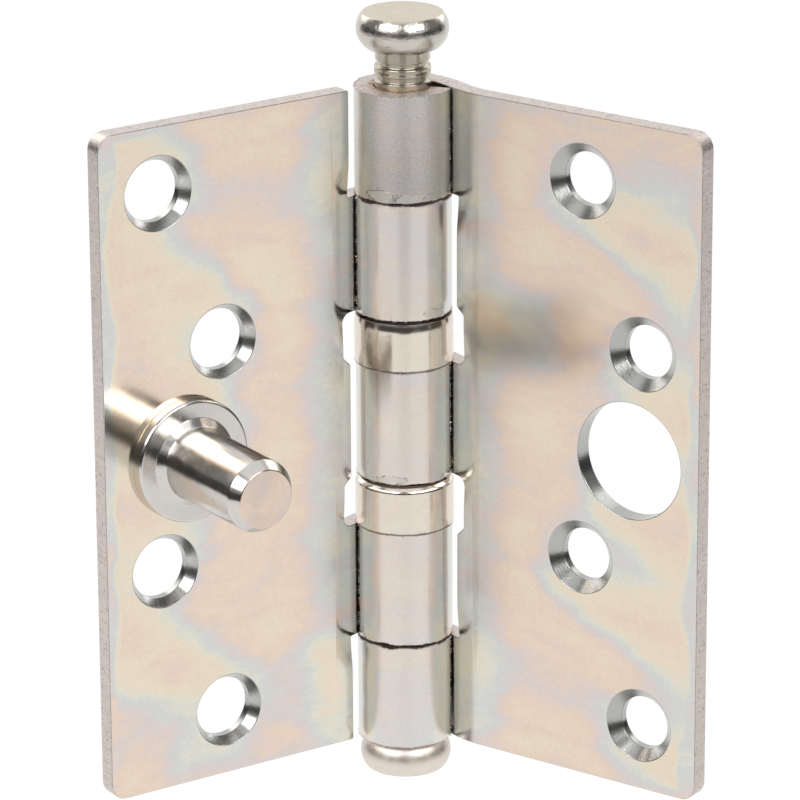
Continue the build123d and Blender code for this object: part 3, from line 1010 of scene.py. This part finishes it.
def wake(lay, place, centre, radius, fall):
    """Step in the film where the bath ran off a hole: round its barrel side, then out to the free edge."""
    near = lay.mapping(place, location=(-centre[0], -centre[1], 0))
    along, across, _ = lay.split(lay.mapping(near, rotation=(0, 0, fall)))
    distance = lay.vector("LENGTH", lay.join(lay.math("MINIMUM", along, 0.0), across))
    width = lay.times_plus(lay.math("MAXIMUM", along, 0.0), 0.35, 5.5)
    outside = lay.math("DIVIDE", lay.minus(distance, radius - 0.5), width)
    step = lay.spread(outside, 0.0, 1.0, 1.0, 0.0)
    side = lay.spread(across, -radius, radius * 1.5, 1.0, 0.2)
    outer = lay.spread(along, -radius - 4.0, 11.0, 0.45, 1.0)
    return lay.times(lay.times(step, side), outer)


def flake(lay, place, ragged, centre, size):
    """Masks of one torn patch of plating and of its ragged rim."""
    near = lay.mapping(place, location=(-centre[0], -centre[1], 0))
    near = lay.mapping(near, scale=(1 / size[0], 1 / size[1], 0))
    distance = lay.plus(lay.vector("LENGTH", near), ragged)
    rim = lay.spread(lay.away(distance, 0.95), 0.1, 0.03)
    return lay.spread(distance, 0.85, 1.0, 1.0, 0.0), rim


# The roll's film is painted thicker round this place and on the flanks beside it, as painted reflection
# colour.
ROLL_FRONT = -18.7  # place in the roll that faces the viewer, in millimetres


def leaf_film(lay, place, plan, wakes):
    """Thickness of a leaf's film before draining made it uneven."""
    drained = drained_place(lay, place, 0.09, 5.0)
    x, y, _ = lay.split(drained)
    along = lay.split(place)[0]
    film = plan["film"]
    for *centre, radius, strength in wakes:
        film = lay.times_plus(wake(lay, drained, centre, radius, plan["fall"]), strength, film)
    for *centre, radius, strength in plan["pools"]:
        away = lay.mapping(drained, location=(-centre[0], -centre[1], 0), scale=(1, 1, 0))
        pool = lay.spread(lay.vector("LENGTH", away), radius, radius * 0.3)
        film = lay.times_plus(pool, strength, film)
    beside_barrel = lay.spread(lay.away(along, 8.5), 9.0, 2.0)
    # Painted reflection colour: the film is made a little thicker where the roll faces the viewer and much
    # thicker on its flanks, so the front of the roll shows pink and its sides bluer greys, painted in for
    # what they reflect.
    from_front = lay.away(along, ROLL_FRONT)
    front = lay.spread(from_front, 7.0, 5.0)
    painted_flank = lay.times(lay.spread(from_front, 2.4, 4.4), lay.spread(x, -2.0, -8.0))
    for part, share in ((beside_barrel, 0.45), (front, 0.16), (painted_flank, 0.42)):
        film = lay.times_plus(part, share, film)
    ends = lay.times(lay.spread(lay.math("ABSOLUTE", y), 42.8, 44.2), lay.spread(x, 8.0, 11.0))
    rim = lay.math("MAXIMUM", lay.spread(x, 42.3, 43.6), ends)
    return lay.times_plus(lay.times(rim, 0.75), lay.minus(0.4, film), film)


def sheared_edge(lay, finish, place, barrel):
    """Colour of the sheared edges: streaks through the sheet, pits, and a stain at the mouth of the bore."""
    streaks = lay.noise(lay.mapping(place, scale=(2.2, 2.2, 0.35)), 1.0, 3.0, 0.7)
    edge = lay.blend(lay.spread(streaks, 0.3, 0.7), opaque(finish.sheared, 0.86), opaque(finish.sheared))
    pits = lay.spread(lay.noise(place, 2.6, 3.0, 0.6), 0.42, 0.33, 0.0, 0.6)
    edge = lay.blend(pits, edge, opaque(finish.dark_marks_and_shade))
    mouth = lay.times(lay.spread(lay.split(place)[2], 1.1, 0.3), lay.spread(streaks, 0.4, 0.6))
    return lay.blend(lay.times(mouth, barrel), edge, opaque(finish.stain))


def torn_patches(lay, place, flakes):
    """Masks of all the torn patches of plating on a leaf and of their rims."""
    ragged = lay.times_plus(lay.noise(place, 1.1, 3.0, 0.6), 1.6, -0.8)
    torn, lifted = 0.0, 0.0
    for *centre, wide, high in flakes:
        patch, rim = flake(lay, place, ragged, centre, (wide, high))
        torn = lay.math("MAXIMUM", torn, patch)
        lifted = lay.math("MAXIMUM", lifted, rim)
    return torn, lifted


def leaf_finish(name, finish, plan, wakes):
    """Plating of a leaf: film that drained round the holes, sheared edges and torn patches, with painted
    light: rims darkened partly by chipping and partly by painted shade, painted glints along the rolled
    edges, painted shade low on the end knuckle, and film colour on the roll painted as its reflections.
    """
    material, lay, shader = new_finish(name)
    place = lay.add("ShaderNodeAttribute", attribute_name="leaf_place").outputs["Vector"]
    zones = lay.add("ShaderNodeAttribute", attribute_name="leaf_zone").outputs["Vector"]
    roll, wall, hole = lay.split(zones)
    x, y, _ = lay.split(place)
    barrel = lay.spread(x, 4.0, -2.0)
    end_knuckle = lay.spread(lay.times(y, plan["directions"][2]), 29.5, 30.5)
    dull = lay.times(barrel, end_knuckle)
    grain = effect(lay, "plating_grain", Place=place, Size=0.28)

    tone = lay.spread(grain["Mottle"], 0.3, 0.7, 0.98, 1.015)
    tone = lay.times(tone, lay.spread(grain["Height"], 0.3, 0.7, 0.97, 1.03))
    # Painted shade: the end knuckle is painted darker towards its lower end.
    tone = lay.times_plus(lay.times(dull, lay.spread(y, 44.0, 32.0)), -0.18, tone)
    tone = lay.times_plus(lay.times(dull, lay.minus(grain["Height"], 0.5)), 0.35, tone)
    film = leaf_film(lay, place, plan, wakes)
    colours = effect(lay, "passivate_film", Place=lay.join(x, y), Thickness=film, Swing=0.34)
    metal = lay.blend(lay.times(barrel, 0.42), colours["Color"], opaque(finish.silver, 1.12))
    metal = lay.vector("SCALE", metal, scale=tone)
    metal = lay.blend(wall, metal, sheared_edge(lay, finish, place, barrel))
    torn, lifted = torn_patches(lay, place, plan["flakes"])
    # Painted highlight: bright glints along the rolled front edge, standing in for the light that the die
    # roll catches.
    glint = lay.times(roll, lay.spread(lay.noise(place, 1.5, 4.0, 0.7), 0.5, 0.6, 0.0, 0.8))
    # Dark broken line along the rolled front edge: partly chipped plating, partly painted shade of the roll.
    edge_marks_and_shade = effect(lay, "edge_wear", Place=place, Edge=roll, Amount=0.6)["Mask"]
    layers = [
        (hole, opaque(finish.silver, 0.68)),
        (lay.times(torn, 0.35), opaque(finish.pale_green)),
        (lay.times(lifted, lay.spread(grain["Mottle"], 0.42, 0.58, 0.15, 0.7)), opaque(finish.dark_marks_and_shade)),
        (glint, opaque(finish.edge_glint)),
        (lay.times(edge_marks_and_shade, 0.55), opaque(finish.dark_marks_and_shade)),
    ]
    for mask, value in layers:
        metal = lay.blend(mask, metal, value)
    lay.feed(shader.inputs["Base Color"], metal)

    flat_gloss = plan["gloss"]
    gloss = lay.spread(grain["Mottle"], 0.3, 0.75, flat_gloss - 0.01, flat_gloss + 0.01)
    rougher = [(wall, 0.24), (barrel, finish.barrel_gloss - flat_gloss), (dull, 0.12), (edge_marks_and_shade, 0.2)]
    rougher += [(torn, 0.08), (hole, finish.hole_gloss - flat_gloss)]
    for mask, more in rougher:
        gloss = lay.times_plus(mask, more, gloss)
    lay.feed(shader.inputs["Roughness"], gloss)

    relief = 0.15
    for mask, more in ((dull, 3.0), (wall, 2.0), (hole, 1.6)):
        relief = lay.times_plus(mask, more, relief)
    bumped(lay, shader, lay.times_plus(torn, 4.0, lay.times(grain["Height"], relief)), 0.006)
    return material


def turned_finish(
    name, finish, film, gloss, bare=0.0, tint=1.0, spun=0.0, pebble=0.0,
    cap=None, grime=None, dusk=None, top_shade=None
):
    """Plating of a turned piece: film, thin where the metal stays bare, turning lines and a little grain.

    Film is its thickness and its swing, and spun draws highlights out along the profile. Four heights, in
    millimetres, part the piece: from the cap up the film is full again; just above the foot a dark line runs
    round it, painted shade where the piece sits on the part below; below the dusk the film is thick and
    olive, and above it the plating is pebbled; above the top height the rim is painted dark, painted shade of
    the gap over it.
    """
    material, lay, shader = new_finish(name)
    place = lay.add("ShaderNodeAttribute", attribute_name="turned_place").outputs["Vector"]
    height = lay.split(place)[2]
    spread = lay.vector("SCALE", place, scale=2.0)
    colours = effect(lay, "passivate_film", Place=spread, Thickness=film[0], Swing=film[1])
    lines = effect(lay, "turning_lines", Place=place, Pitch=0.4)
    grain = effect(lay, "plating_grain", Place=place, Size=0.25)
    tone = lay.spread(lines["Mottle"], 0.3, 0.7, 0.95 * tint, 1.03 * tint)
    thin = lay.spread(height, cap - 0.15, cap, bare, 0.0) if cap else bare
    metal = lay.blend(thin, colours["Color"], opaque(finish.silver))
    metal = lay.vector("SCALE", metal, scale=tone)
    relief = lay.times_plus(grain["Height"], 1.5, lines["Height"])
    if dusk is not None:
        metal = lay.blend(lay.spread(height, dusk + 0.2, dusk - 0.4, 0.0, 0.5), metal, opaque(finish.olive))
        pebbles = effect(lay, "plating_grain", Place=place, Size=0.45)["Height"]
        relief = lay.times_plus(pebbles, lay.spread(height, dusk, dusk + 0.4, 0.0, pebble), relief)
    # Painted shade: a dark line round the foot, where the piece sits on the knuckle below.
    if grime is not None:
        ragged = lay.times_plus(lines["Mottle"], 0.3, height)
        line = lay.spread(ragged, grime + 0.3, grime + 0.42, 0.85, 0.0)
        metal = lay.blend(line, metal, opaque(finish.dark_marks_and_shade))
    # Painted shade: the top rim painted dark, under the gap above it.
    if top_shade is not None:
        metal = lay.blend(lay.spread(height, top_shade - 0.1, top_shade, 0.0, 0.85), metal, opaque(finish.dark_marks_and_shade))
    lay.feed(shader.inputs["Base Color"], metal)
    lay.feed(shader.inputs["Roughness"], lay.spread(lines["Mottle"], 0.3, 0.75, gloss - 0.03, gloss + 0.06))
    bumped(lay, shader, relief, 0.002)
    way = lay.add("ShaderNodeAttribute", attribute_name="turned_way").outputs["Vector"]
    turn = {"vector_type": "VECTOR", "convert_from": "OBJECT", "convert_to": "WORLD"}
    lay.feed(shader.inputs["Tangent"], lay.add("ShaderNodeVectorTransform", {0: way}, **turn).outputs[0])
    shader.inputs["Anisotropic"].default_value = spun
    return material


def steel_finish(name, base, gloss):
    """Plain steel of the bearing pieces and of the burr: a fine grain and a darker mottle."""
    material, lay, shader = new_finish(name)
    place = lay.vector("SCALE", lay.add("ShaderNodeTexCoord").outputs["Object"], scale=1 / MM)
    grain = effect(lay, "plating_grain", Place=place, Size=0.2)
    metal = lay.blend(lay.spread(grain["Mottle"], 0.35, 0.7), opaque(base, 0.75), opaque(base))
    lay.feed(shader.inputs["Base Color"], metal)
    lay.feed(shader.inputs["Roughness"], lay.spread(grain["Mottle"], 0.3, 0.7, gloss, gloss + 0.1))
    bumped(lay, shader, grain["Height"], 0.003)
    return material


def shared_effects(finish):
    """Build the shared effects once."""
    if not GROUPS:
        GROUPS["passivate_film"] = film_group(finish)
        GROUPS["plating_grain"] = grain_group()
        GROUPS["edge_wear"] = wear_and_shade_group()
        GROUPS["turning_lines"] = turning_group()


# Operators


def leaf_holes(sizes, diameter, stud_hole):
    """Places, radii and countersinks of the holes in a leaf, in leaf places."""
    radius = diameter / 2
    sunk = (sizes.countersink - diameter) / 2
    holes = [
        (sizes.screw_inner, sizes.screw_high, radius, sunk),
        (sizes.screw_outer, sizes.screw_low, radius, sunk),
        (sizes.screw_inner, -sizes.screw_low, radius, sunk),
        (sizes.screw_outer, -sizes.screw_high, radius, sunk),
    ]
    if stud_hole:
        holes.append((sizes.stud_hole_place, 0.0, sizes.stud_hole / 2, 0.0))
    return holes


def door_directions(sizes):
    """Outward and inward directions of the door leaf."""
    turn = sizes.open_angle
    outward = Vector((math.cos(turn), -math.sin(turn), 0))
    return outward, Vector((outward.y, -outward.x, 0))


class HINGE_OT_leaves(bpy.types.Operator):
    """Roll the two leaves from their blanks"""

    bl_idname = "hinge.leaves"
    bl_label = "Rolled leaves"

    def execute(self, context):
        sizes = context.scene.hinge_leaf
        finish = context.scene.hinge_finish
        turned = context.scene.hinge_turned
        shared_effects(finish)
        leaf = RolledLeaf(sizes)
        tree, burrs = roll_tree(), burr_tree()
        top = LEAF_HEIGHT / 2
        middle = sizes.middle_knuckle / 2
        door_low = middle + sizes.bearing_space
        door_high = top - sizes.end_knuckle - sizes.knuckle_gap
        frame_tabs = [(top, top - sizes.end_knuckle), (middle, -middle)]
        door_tabs = [(door_high, door_low)]
        stud_rim = (turned.stud_place / MM, 0.0, turned.flange_radius / MM, 0.95)
        plans = [
            {
                "body": "frame",
                "tabs": frame_tabs,
                "corners": leaf.outline(frame_tabs, [(None, None), ("past", "past")], False),
                "directions": (Vector((1, 0, 0)), Vector((0, 1, 0)), 1),
                "holes": leaf_holes(sizes, sizes.frame_hole, True),
                "wakes": [],
                "film": 0.23,
                "gloss": finish.frame_gloss,
                "pools": [(17.0, 14.5, 10.0, 0.4)],
                "fall": math.radians(13),
                "flakes": [(-16.6, 31.2, 1.7, 0.9), (-19.4, 30.9, 1.6, 0.7), (-17.2, -7.1, 1.6, 0.6)],
            },
            {
                "body": "door",
                "tabs": door_tabs,
                "corners": leaf.outline(door_tabs, [(None, "within")], True),
                "directions": (*door_directions(sizes), -1),
                "holes": leaf_holes(sizes, sizes.door_hole, False),
                "wakes": [stud_rim],
                "film": 0.23,
                "gloss": finish.door_gloss,
                "pools": [(14.0, 36.0, 9.0, 0.4), (22.0, -20.0, 8.0, -0.25), (30.0, 44.0, 10.0, 0.45)],
                "fall": math.radians(27),
                "flakes": [(-15.2, -15.3, 1.5, 0.7)],
            },
        ]
        for plan in plans:
            node = plan["body"] + "_leaf"
            seed = plan["directions"][2] * 7.0
            blank = leaf_blank(leaf, plan["tabs"], plan["corners"], plan["holes"], seed)
            wakes = plan["wakes"] + [
                (place / MM, height / MM, (radius + sunk) / MM, 1.0 if place == sizes.screw_inner else 0.9)
                for place, height, radius, sunk in plan["holes"]
            ]
            material = leaf_finish(node + "_zinc", finish, plan, wakes)
            piece = rolled_leaf(node + "_rolled", leaf, blank, plan["directions"], tree, material)
            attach(piece, plan["body"])
            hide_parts(node)
            burr = bpy.data.objects.new(node + "_burr", piece.data.copy())
            context.collection.objects.link(burr)
            material = steel_finish(node + "_burr_zinc", finish.sheared, 0.3)
            baked(burr, burrs, Size=sizes.burr_size, Share=0.4, Seed=4, Finish=material)
            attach(burr, plan["body"])
        return {"FINISHED"}


def button_corners(sizes, seat, way, wide):
    """Corners of a button head from its seat to its flat; way is 1 for upwards."""
    flat = seat + way * sizes.head_height
    belly = seat + way * sizes.head_belly
    rim = arc_points((sizes.head_neck, seat), (wide, belly), (sizes.head_flat, flat))
    return [tuple(spot) for spot in rim] + [(0.0, flat)]


def smooth_radii(corners, sharp, soft=SOFT_CORNER):
    """Corner radii: given ones at the named corners, and as round as they can be elsewhere."""
    return [sharp.get(index, soft) for index in range(1, len(corners) - 1)]


class HINGE_OT_pin(bpy.types.Operator):
    """Turn the loose pin and the plug"""

    bl_idname = "hinge.pin"
    bl_label = "Pin and plug"

    def execute(self, context):
        sizes = context.scene.hinge_turned
        finish = context.scene.hinge_finish
        shared_effects(finish)
        wide = (PIN_HIGH.x - PIN_LOW.x) / 2
        seat = PIN_HIGH.z - sizes.head_height
        ring = sizes.ring_length - sizes.ring_line
        upper_bead, lower_bead = 0.58 * ring, 0.42 * ring
        marks = [
            (sizes.neck_radius, sizes.neck_length),
            (sizes.upper_groove, sizes.upper_groove_length),
            (sizes.pin_radius, upper_bead),
            (sizes.pin_radius - sizes.ring_line, sizes.ring_line),
            (sizes.pin_radius, lower_bead),
            (sizes.lower_groove, sizes.lower_groove_length),
        ]
        corners = [(0.0, PIN_LOW.z), (sizes.pin_radius - sizes.pin_tip_chamfer, PIN_LOW.z)]
        corners.append((sizes.pin_radius, PIN_LOW.z + sizes.pin_tip_chamfer))
        heights = []
        level = seat
        for radius, run in marks:
            heights.append((radius, level))
            level -= run
            heights.append((radius, level))
        heights.append((sizes.pin_radius, level))
        corners += heights[::-1]
        first = len(corners)
        corners += button_corners(sizes, seat, 1, wide)
        sharp = {index: TURNED_EDGE for index in range(1, first + 1)}
        sharp[len(corners) - 2] = HEAD_EDGE
        profile = rounded_profile(corners, smooth_radii(corners, sharp), 4)
        cap = PIN_HIGH.z / MM - 0.1
        look = {"bare": 0.6, "tint": 0.82, "spun": 0.4, "pebble": 24.0}
        material = turned_finish("pin_zinc_finish", finish, (1.08, 0.3), 0.2, cap=cap, dusk=seat / MM, **look)
        piece = turned_piece("hinge_pin_turned", profile, AXIS, UP, sizes.around, material)
        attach(piece, "pin")
        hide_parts("hinge_pin")

        plug_wide = (PLUG_HIGH.x - PLUG_LOW.x) / 2
        plug_seat = PLUG_LOW.z + sizes.head_height
        head = button_corners(sizes, plug_seat, -1, plug_wide)[::-1]
        radius = sizes.spigot_radius
        corners = head + [(radius, plug_seat), (radius, PLUG_HIGH.z - SPIGOT_CHAMFER)]
        corners += [(radius - SPIGOT_CHAMFER, PLUG_HIGH.z), (0.0, PLUG_HIGH.z)]
        sharp = {1: HEAD_EDGE, len(head) - 1: SEAT_EDGE}
        sharp.update({index: SPIGOT_EDGE for index in range(len(head), len(corners))})
        profile = rounded_profile(corners, smooth_radii(corners, sharp), 4)
        material = turned_finish("plug_zinc_finish", finish, (1.4, 0.3), 0.42, bare=0.5, tint=1.1)
        piece = turned_piece("bottom_plug_turned", profile, AXIS, UP, sizes.around, material)
        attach(piece, "frame")
        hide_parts("bottom_plug")
        return {"FINISHED"}


class HINGE_OT_stud(bpy.types.Operator):
    """Turn the security stud"""

    bl_idname = "hinge.stud"
    bl_label = "Security stud"

    def execute(self, context):
        sizes = context.scene.hinge_turned
        leaf = context.scene.hinge_leaf
        finish = context.scene.hinge_finish
        shared_effects(finish)
        outward, inward = door_directions(leaf)
        base = AXIS + outward * sizes.stud_place + inward * leaf.flat_depth
        flush = leaf.sheet
        lead = sizes.rivet_head - sizes.rivet_radius
        corners = [
            (0.0, -flush),
            (sizes.rivet_head, -flush),
            (sizes.rivet_radius, -flush + lead),
            (sizes.rivet_radius, 0.0),
            (sizes.flange_radius, 0.0),
            (sizes.flange_radius, sizes.flange_height),
            (sizes.collar_radius, sizes.flange_height),
            (sizes.stud_radius, sizes.flange_height + sizes.collar_height),
            (sizes.stud_radius, sizes.stud_length - sizes.stud_tip_length),
            (sizes.stud_tip_radius, sizes.stud_length),
            (0.0, sizes.stud_length),
        ]
        radii = [part * MM for part in (0.05, 0.05, 0.05, 0.12, 0.4, 0.25, 0.5, 0.3, 0.22)]
        profile = rounded_profile(corners, radii)
        cap = sizes.stud_length / MM - 0.1
        look = {"bare": 0.8, "tint": 0.95, "spun": 0.75}
        material = turned_finish("stud_zinc_finish", finish, (1.3, 0.3), 0.2, cap=cap, **look)
        piece = turned_piece("security_stud_turned", profile, base, -inward, sizes.around, material)
        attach(piece, "door")
        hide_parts("security_stud")
        return {"FINISHED"}


class HINGE_OT_bearings(bpy.types.Operator):
    """Draw the two bearing shells and finish what they hold"""

    bl_idname = "hinge.bearings"
    bl_label = "Ball bearings"

    def execute(self, context):
        sizes = context.scene.hinge_turned
        finish = context.scene.hinge_finish
        shared_effects(finish)
        inner = sizes.shell_radius - sizes.shell_wall
        lip = sizes.shell_radius - sizes.shell_shoulder - sizes.shell_lip
        bevel = sizes.lower_chamfer
        radius = sizes.shell_radius
        for place, body, thickness in (("upper", "frame", 1.12), ("lower", "door", 1.2)):
            node = place + "_bearing_shell"
            low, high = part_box(node)
            under = high.z - sizes.shell_wall
            middle = (low.z + high.z) / 2
            if place == "upper":
                foot = (radius, high.z - sizes.upper_taper)
                half = (radius - 0.25 * sizes.upper_taper_set, high.z - sizes.upper_taper / 2)
                shoulder = arc_points(foot, half, (radius - sizes.upper_taper_set, high.z), 8)
                crown_corner, soft, top_shade = 0.08 * MM, SOFT_CORNER, high.z / MM - 0.08
            else:
                shoulder = [(radius, high.z - bevel), (radius - bevel, high.z)]
                crown_corner, soft, top_shade = 0.3 * MM, 0.7 * MM, None
            corners = [(inner, middle), (inner, low.z), (radius, low.z)]
            corners += [tuple(spot) for spot in shoulder]
            corners += [(lip, high.z), (lip, under), (inner, under), (inner, middle)]
            crown = 2 + len(shoulder)
            sharp = {index: SHELL_EDGE for index in (1, 2, crown + 1, crown + 2)}
            sharp[crown + 3] = sizes.shell_shoulder - sizes.shell_wall
            sharp[crown] = crown_corner
            profile = rounded_profile(corners, smooth_radii(corners, sharp, soft), 8)[:-1]
            # The foot and top heights place painted shade lines: round the foot where a shell sits on its
            # knuckle, and along the top rim of the upper shell under the gap.
            look = {"bare": 0.4, "tint": 1.04, "grime": low.z / MM, "top_shade": top_shade}
            material = turned_finish(node + "_zinc", finish, (thickness, 0.25), 0.17, **look)
            piece = turned_piece(node + "_drawn", profile, AXIS, UP, sizes.around, material, True)
            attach(piece, body)
            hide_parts(node)
        finishes = {
            "race": steel_finish("race_steel_finish", finish.race_steel, 0.16),
            "cage": steel_finish("cage_steel_finish", finish.cage_steel, 0.28),
            "balls": steel_finish("ball_steel_finish", finish.ball_steel, 0.06),
        }
        for node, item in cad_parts.items():
            material = finishes.get(node.split("_")[-1])
            if material:
                item.data.materials.clear()
                item.data.materials.append(material)
        return {"FINISHED"}


class HINGE_OT_stage(bpy.types.Operator):
    """Set the floor, the studio light and the camera"""

    bl_idname = "hinge.stage"
    bl_label = "Stage"

    def execute(self, context):
        stage = context.scene.hinge_stage
        context.scene.view_settings.view_transform = "Standard"
        self.camera(context, stage)
        self.sky(context, stage)
        self.floor(stage)
        self.cards(stage)
        return {"FINISHED"}

    def camera(self, context, stage):
        """Camera at the viewing angle, aimed at the middle of the barrel."""
        lens = bpy.data.cameras.new("view_camera")
        lens.lens = stage.lens
        lens.shift_x, lens.shift_y = stage.shift_x, stage.shift_y
        lens.clip_start = 10 * MM
        camera = bpy.data.objects.new("view_camera", lens)
        context.collection.objects.link(camera)
        toward = direction(stage.camera_azimuth, stage.camera_height)
        camera.location = AXIS + toward * stage.camera_distance
        look = toward.to_track_quat("Z", "Y").to_euler()
        camera.rotation_euler = look
        camera.rotation_euler.rotate_axis("Z", stage.camera_roll)
        context.scene.camera = camera

    def sky(self, context, stage):
        """White all round for the camera and for reflections, softer as light."""
        world = bpy.data.worlds.new("studio")
        world.use_nodes = True
        lay = Layout(world.node_tree)
        background = lay.tree.nodes["Background"]
        background.inputs["Color"].default_value = (1, 1, 1, 1)
        strength = lay.spread(seen_white(lay), 0, 1, stage.sky_light, 1.0, False)
        lay.feed(background.inputs["Strength"], strength)
        context.scene.world = world

    def floor(self, stage):
        """Plain pale floor, white to the camera and in reflections except in the shadow."""
        size = 6.0
        drop = stage.floor_drop
        corners = [(-size, -size, -drop), (size, -size, -drop), (size, size, -drop), (-size, size, -drop)]
        floor, lay = self.card("floor", "pale_floor", corners, [(0, 1, 2, 3)])
        shader = lay.tree.nodes["Principled BSDF"]
        shader.inputs["Base Color"].default_value = (*stage.floor_colour, 1)
        shader.inputs["Roughness"].default_value = 0.9
        lift = lay.add("ShaderNodeEmission", {"Color": (1, 1, 1, 1), "Strength": 1.04})
        either = lay.add("ShaderNodeMixShader", {0: lay.times(seen_white(lay), 0.9)})
        lay.feed(either.inputs[1], shader.outputs[0])
        lay.feed(either.inputs[2], lift.outputs[0])
        lay.feed(lay.tree.nodes["Material Output"].inputs["Surface"], either.outputs[0])

    def card(self, name, finish, corners, faces):
        """A flat piece of the stage with a material of its own: the object and the material's layout."""
        mesh = bpy.data.meshes.new(name)
        mesh.from_pydata(corners, [], faces)
        card = bpy.data.objects.new(name, mesh)
        bpy.context.collection.objects.link(card)
        material = bpy.data.materials.new(finish)
        material.use_nodes = True
        mesh.materials.append(material)
        return card, Layout(material.node_tree)

    def cards(self, stage):
        """Soft boxes and flags round the hinge.

        A box has its angles from the camera's side and above the horizon in degrees, its distance, width and
        height in metres, and its brightness.
        """
        lamps = [
            ("box_front_left", -39.0, 36.0, 1.0, 0.72, 0.50, 4.5),
            ("box_front_right", 36.0, 36.0, 1.0, 0.68, 0.50, 4.5),
            ("box_left", -134.0, 30.0, 1.0, 0.66, 0.56, 1.3),
            ("box_right", 136.0, 24.0, 1.0, 0.50, 0.45, 1.3),
        ]
        for name, side, up, away, wide, high, level in lamps:
            light = bpy.data.lights.new(name, "AREA")
            light.shape = "RECTANGLE"
            light.size, light.size_y = wide, high
            light.energy = level * math.pi * wide * high
            lamp = bpy.data.objects.new(name, light)
            bpy.context.collection.objects.link(lamp)
            toward = direction(stage.camera_azimuth + math.radians(side), math.radians(up))
            lamp.location = AXIS + toward * away
            lamp.rotation_euler = toward.to_track_quat("Z", "Y").to_euler()
            lamp.visible_camera = False
        self.dome("flag_skirt", stage, [None, 0, 5, 10], 0.05)
        self.dome("flag_dome", stage, [10, 20, 30, 40, 50, 58], 0.24)

    def dome(self, name, stage, levels, tone):
        """Part of a dark dome in front of the hinge, which only reflections see.

        The levels are elevations in degrees; None is the foot, which dips where the camera stands.
        """
        radius = 1.3
        corners = []
        for side in range(-124, 125, 4):
            foot = -16.0 if -12 < side < 14 else -9.5
            for level in levels:
                up = math.radians(foot if level is None else level)
                corners.append(AXIS + direction(stage.camera_azimuth + math.radians(side), up) * radius)
        rows = len(levels)
        faces = []
        for at in range(0, len(corners) - rows, rows):
            for row in range(rows - 1):
                faces.append((at + row, at + row + 1, at + rows + row + 1, at + rows + row))
        flag, lay = self.card(name, name, corners, faces)
        glow = lay.add("ShaderNodeEmission", {"Color": (tone, tone, tone, 1), "Strength": 1.0})
        lay.feed(lay.tree.nodes["Material Output"].inputs["Surface"], glow.outputs[0])
        flag.visible_camera = False
        flag.visible_shadow = False
        flag.visible_diffuse = False


def direction(azimuth, elevation):
    """Unit vector at an azimuth from straight in front, and an elevation."""
    flat = math.cos(elevation)
    return Vector((math.sin(azimuth) * flat, -math.cos(azimuth) * flat, math.sin(elevation)))


def seen_white(lay):
    """One for rays from the camera, in reflections and through glass; zero for light."""
    rays = lay.add("ShaderNodeLightPath").outputs
    seen = lay.plus(rays["Is Camera Ray"], rays["Is Glossy Ray"])
    return lay.plus(seen, rays["Is Transmission Ray"], clamp=True)


class HINGE_PT_panel(bpy.types.Panel):
    """Buttons that make the hinge pieces"""

    bl_idname = "HINGE_PT_panel"
    bl_label = "Ball Bearing Hinge"
    bl_space_type = "VIEW_3D"
    bl_region_type = "UI"
    bl_category = "Hinge"

    def draw(self, context):
        for operator in OPERATORS:
            self.layout.operator(operator.bl_idname)


GROUP_NAMES = {
    "hinge_leaf": HingeLeafSizes,
    "hinge_turned": HingeTurnedSizes,
    "hinge_finish": HingeFinish,
    "hinge_stage": HingeStage,
}
OPERATORS = (HINGE_OT_leaves, HINGE_OT_pin, HINGE_OT_stud, HINGE_OT_bearings, HINGE_OT_stage)


def register():
    """Register the property groups, the operators and the panel."""
    for name, group in GROUP_NAMES.items():
        bpy.utils.register_class(group)
        setattr(bpy.types.Scene, name, PointerProperty(type=group))
    for operator in OPERATORS:
        bpy.utils.register_class(operator)
    bpy.utils.register_class(HINGE_PT_panel)


def unregister():
    """Undo register."""
    bpy.utils.unregister_class(HINGE_PT_panel)
    for operator in reversed(OPERATORS):
        bpy.utils.unregister_class(operator)
    for name, group in GROUP_NAMES.items():
        delattr(bpy.types.Scene, name)
        bpy.utils.unregister_class(group)


def main():
    """Make every piece and the stage."""
    register()
    bpy.ops.hinge.leaves()
    bpy.ops.hinge.pin()
    bpy.ops.hinge.stud()
    bpy.ops.hinge.bearings()
    bpy.ops.hinge.stage()


if __name__ == "__main__":
    main()
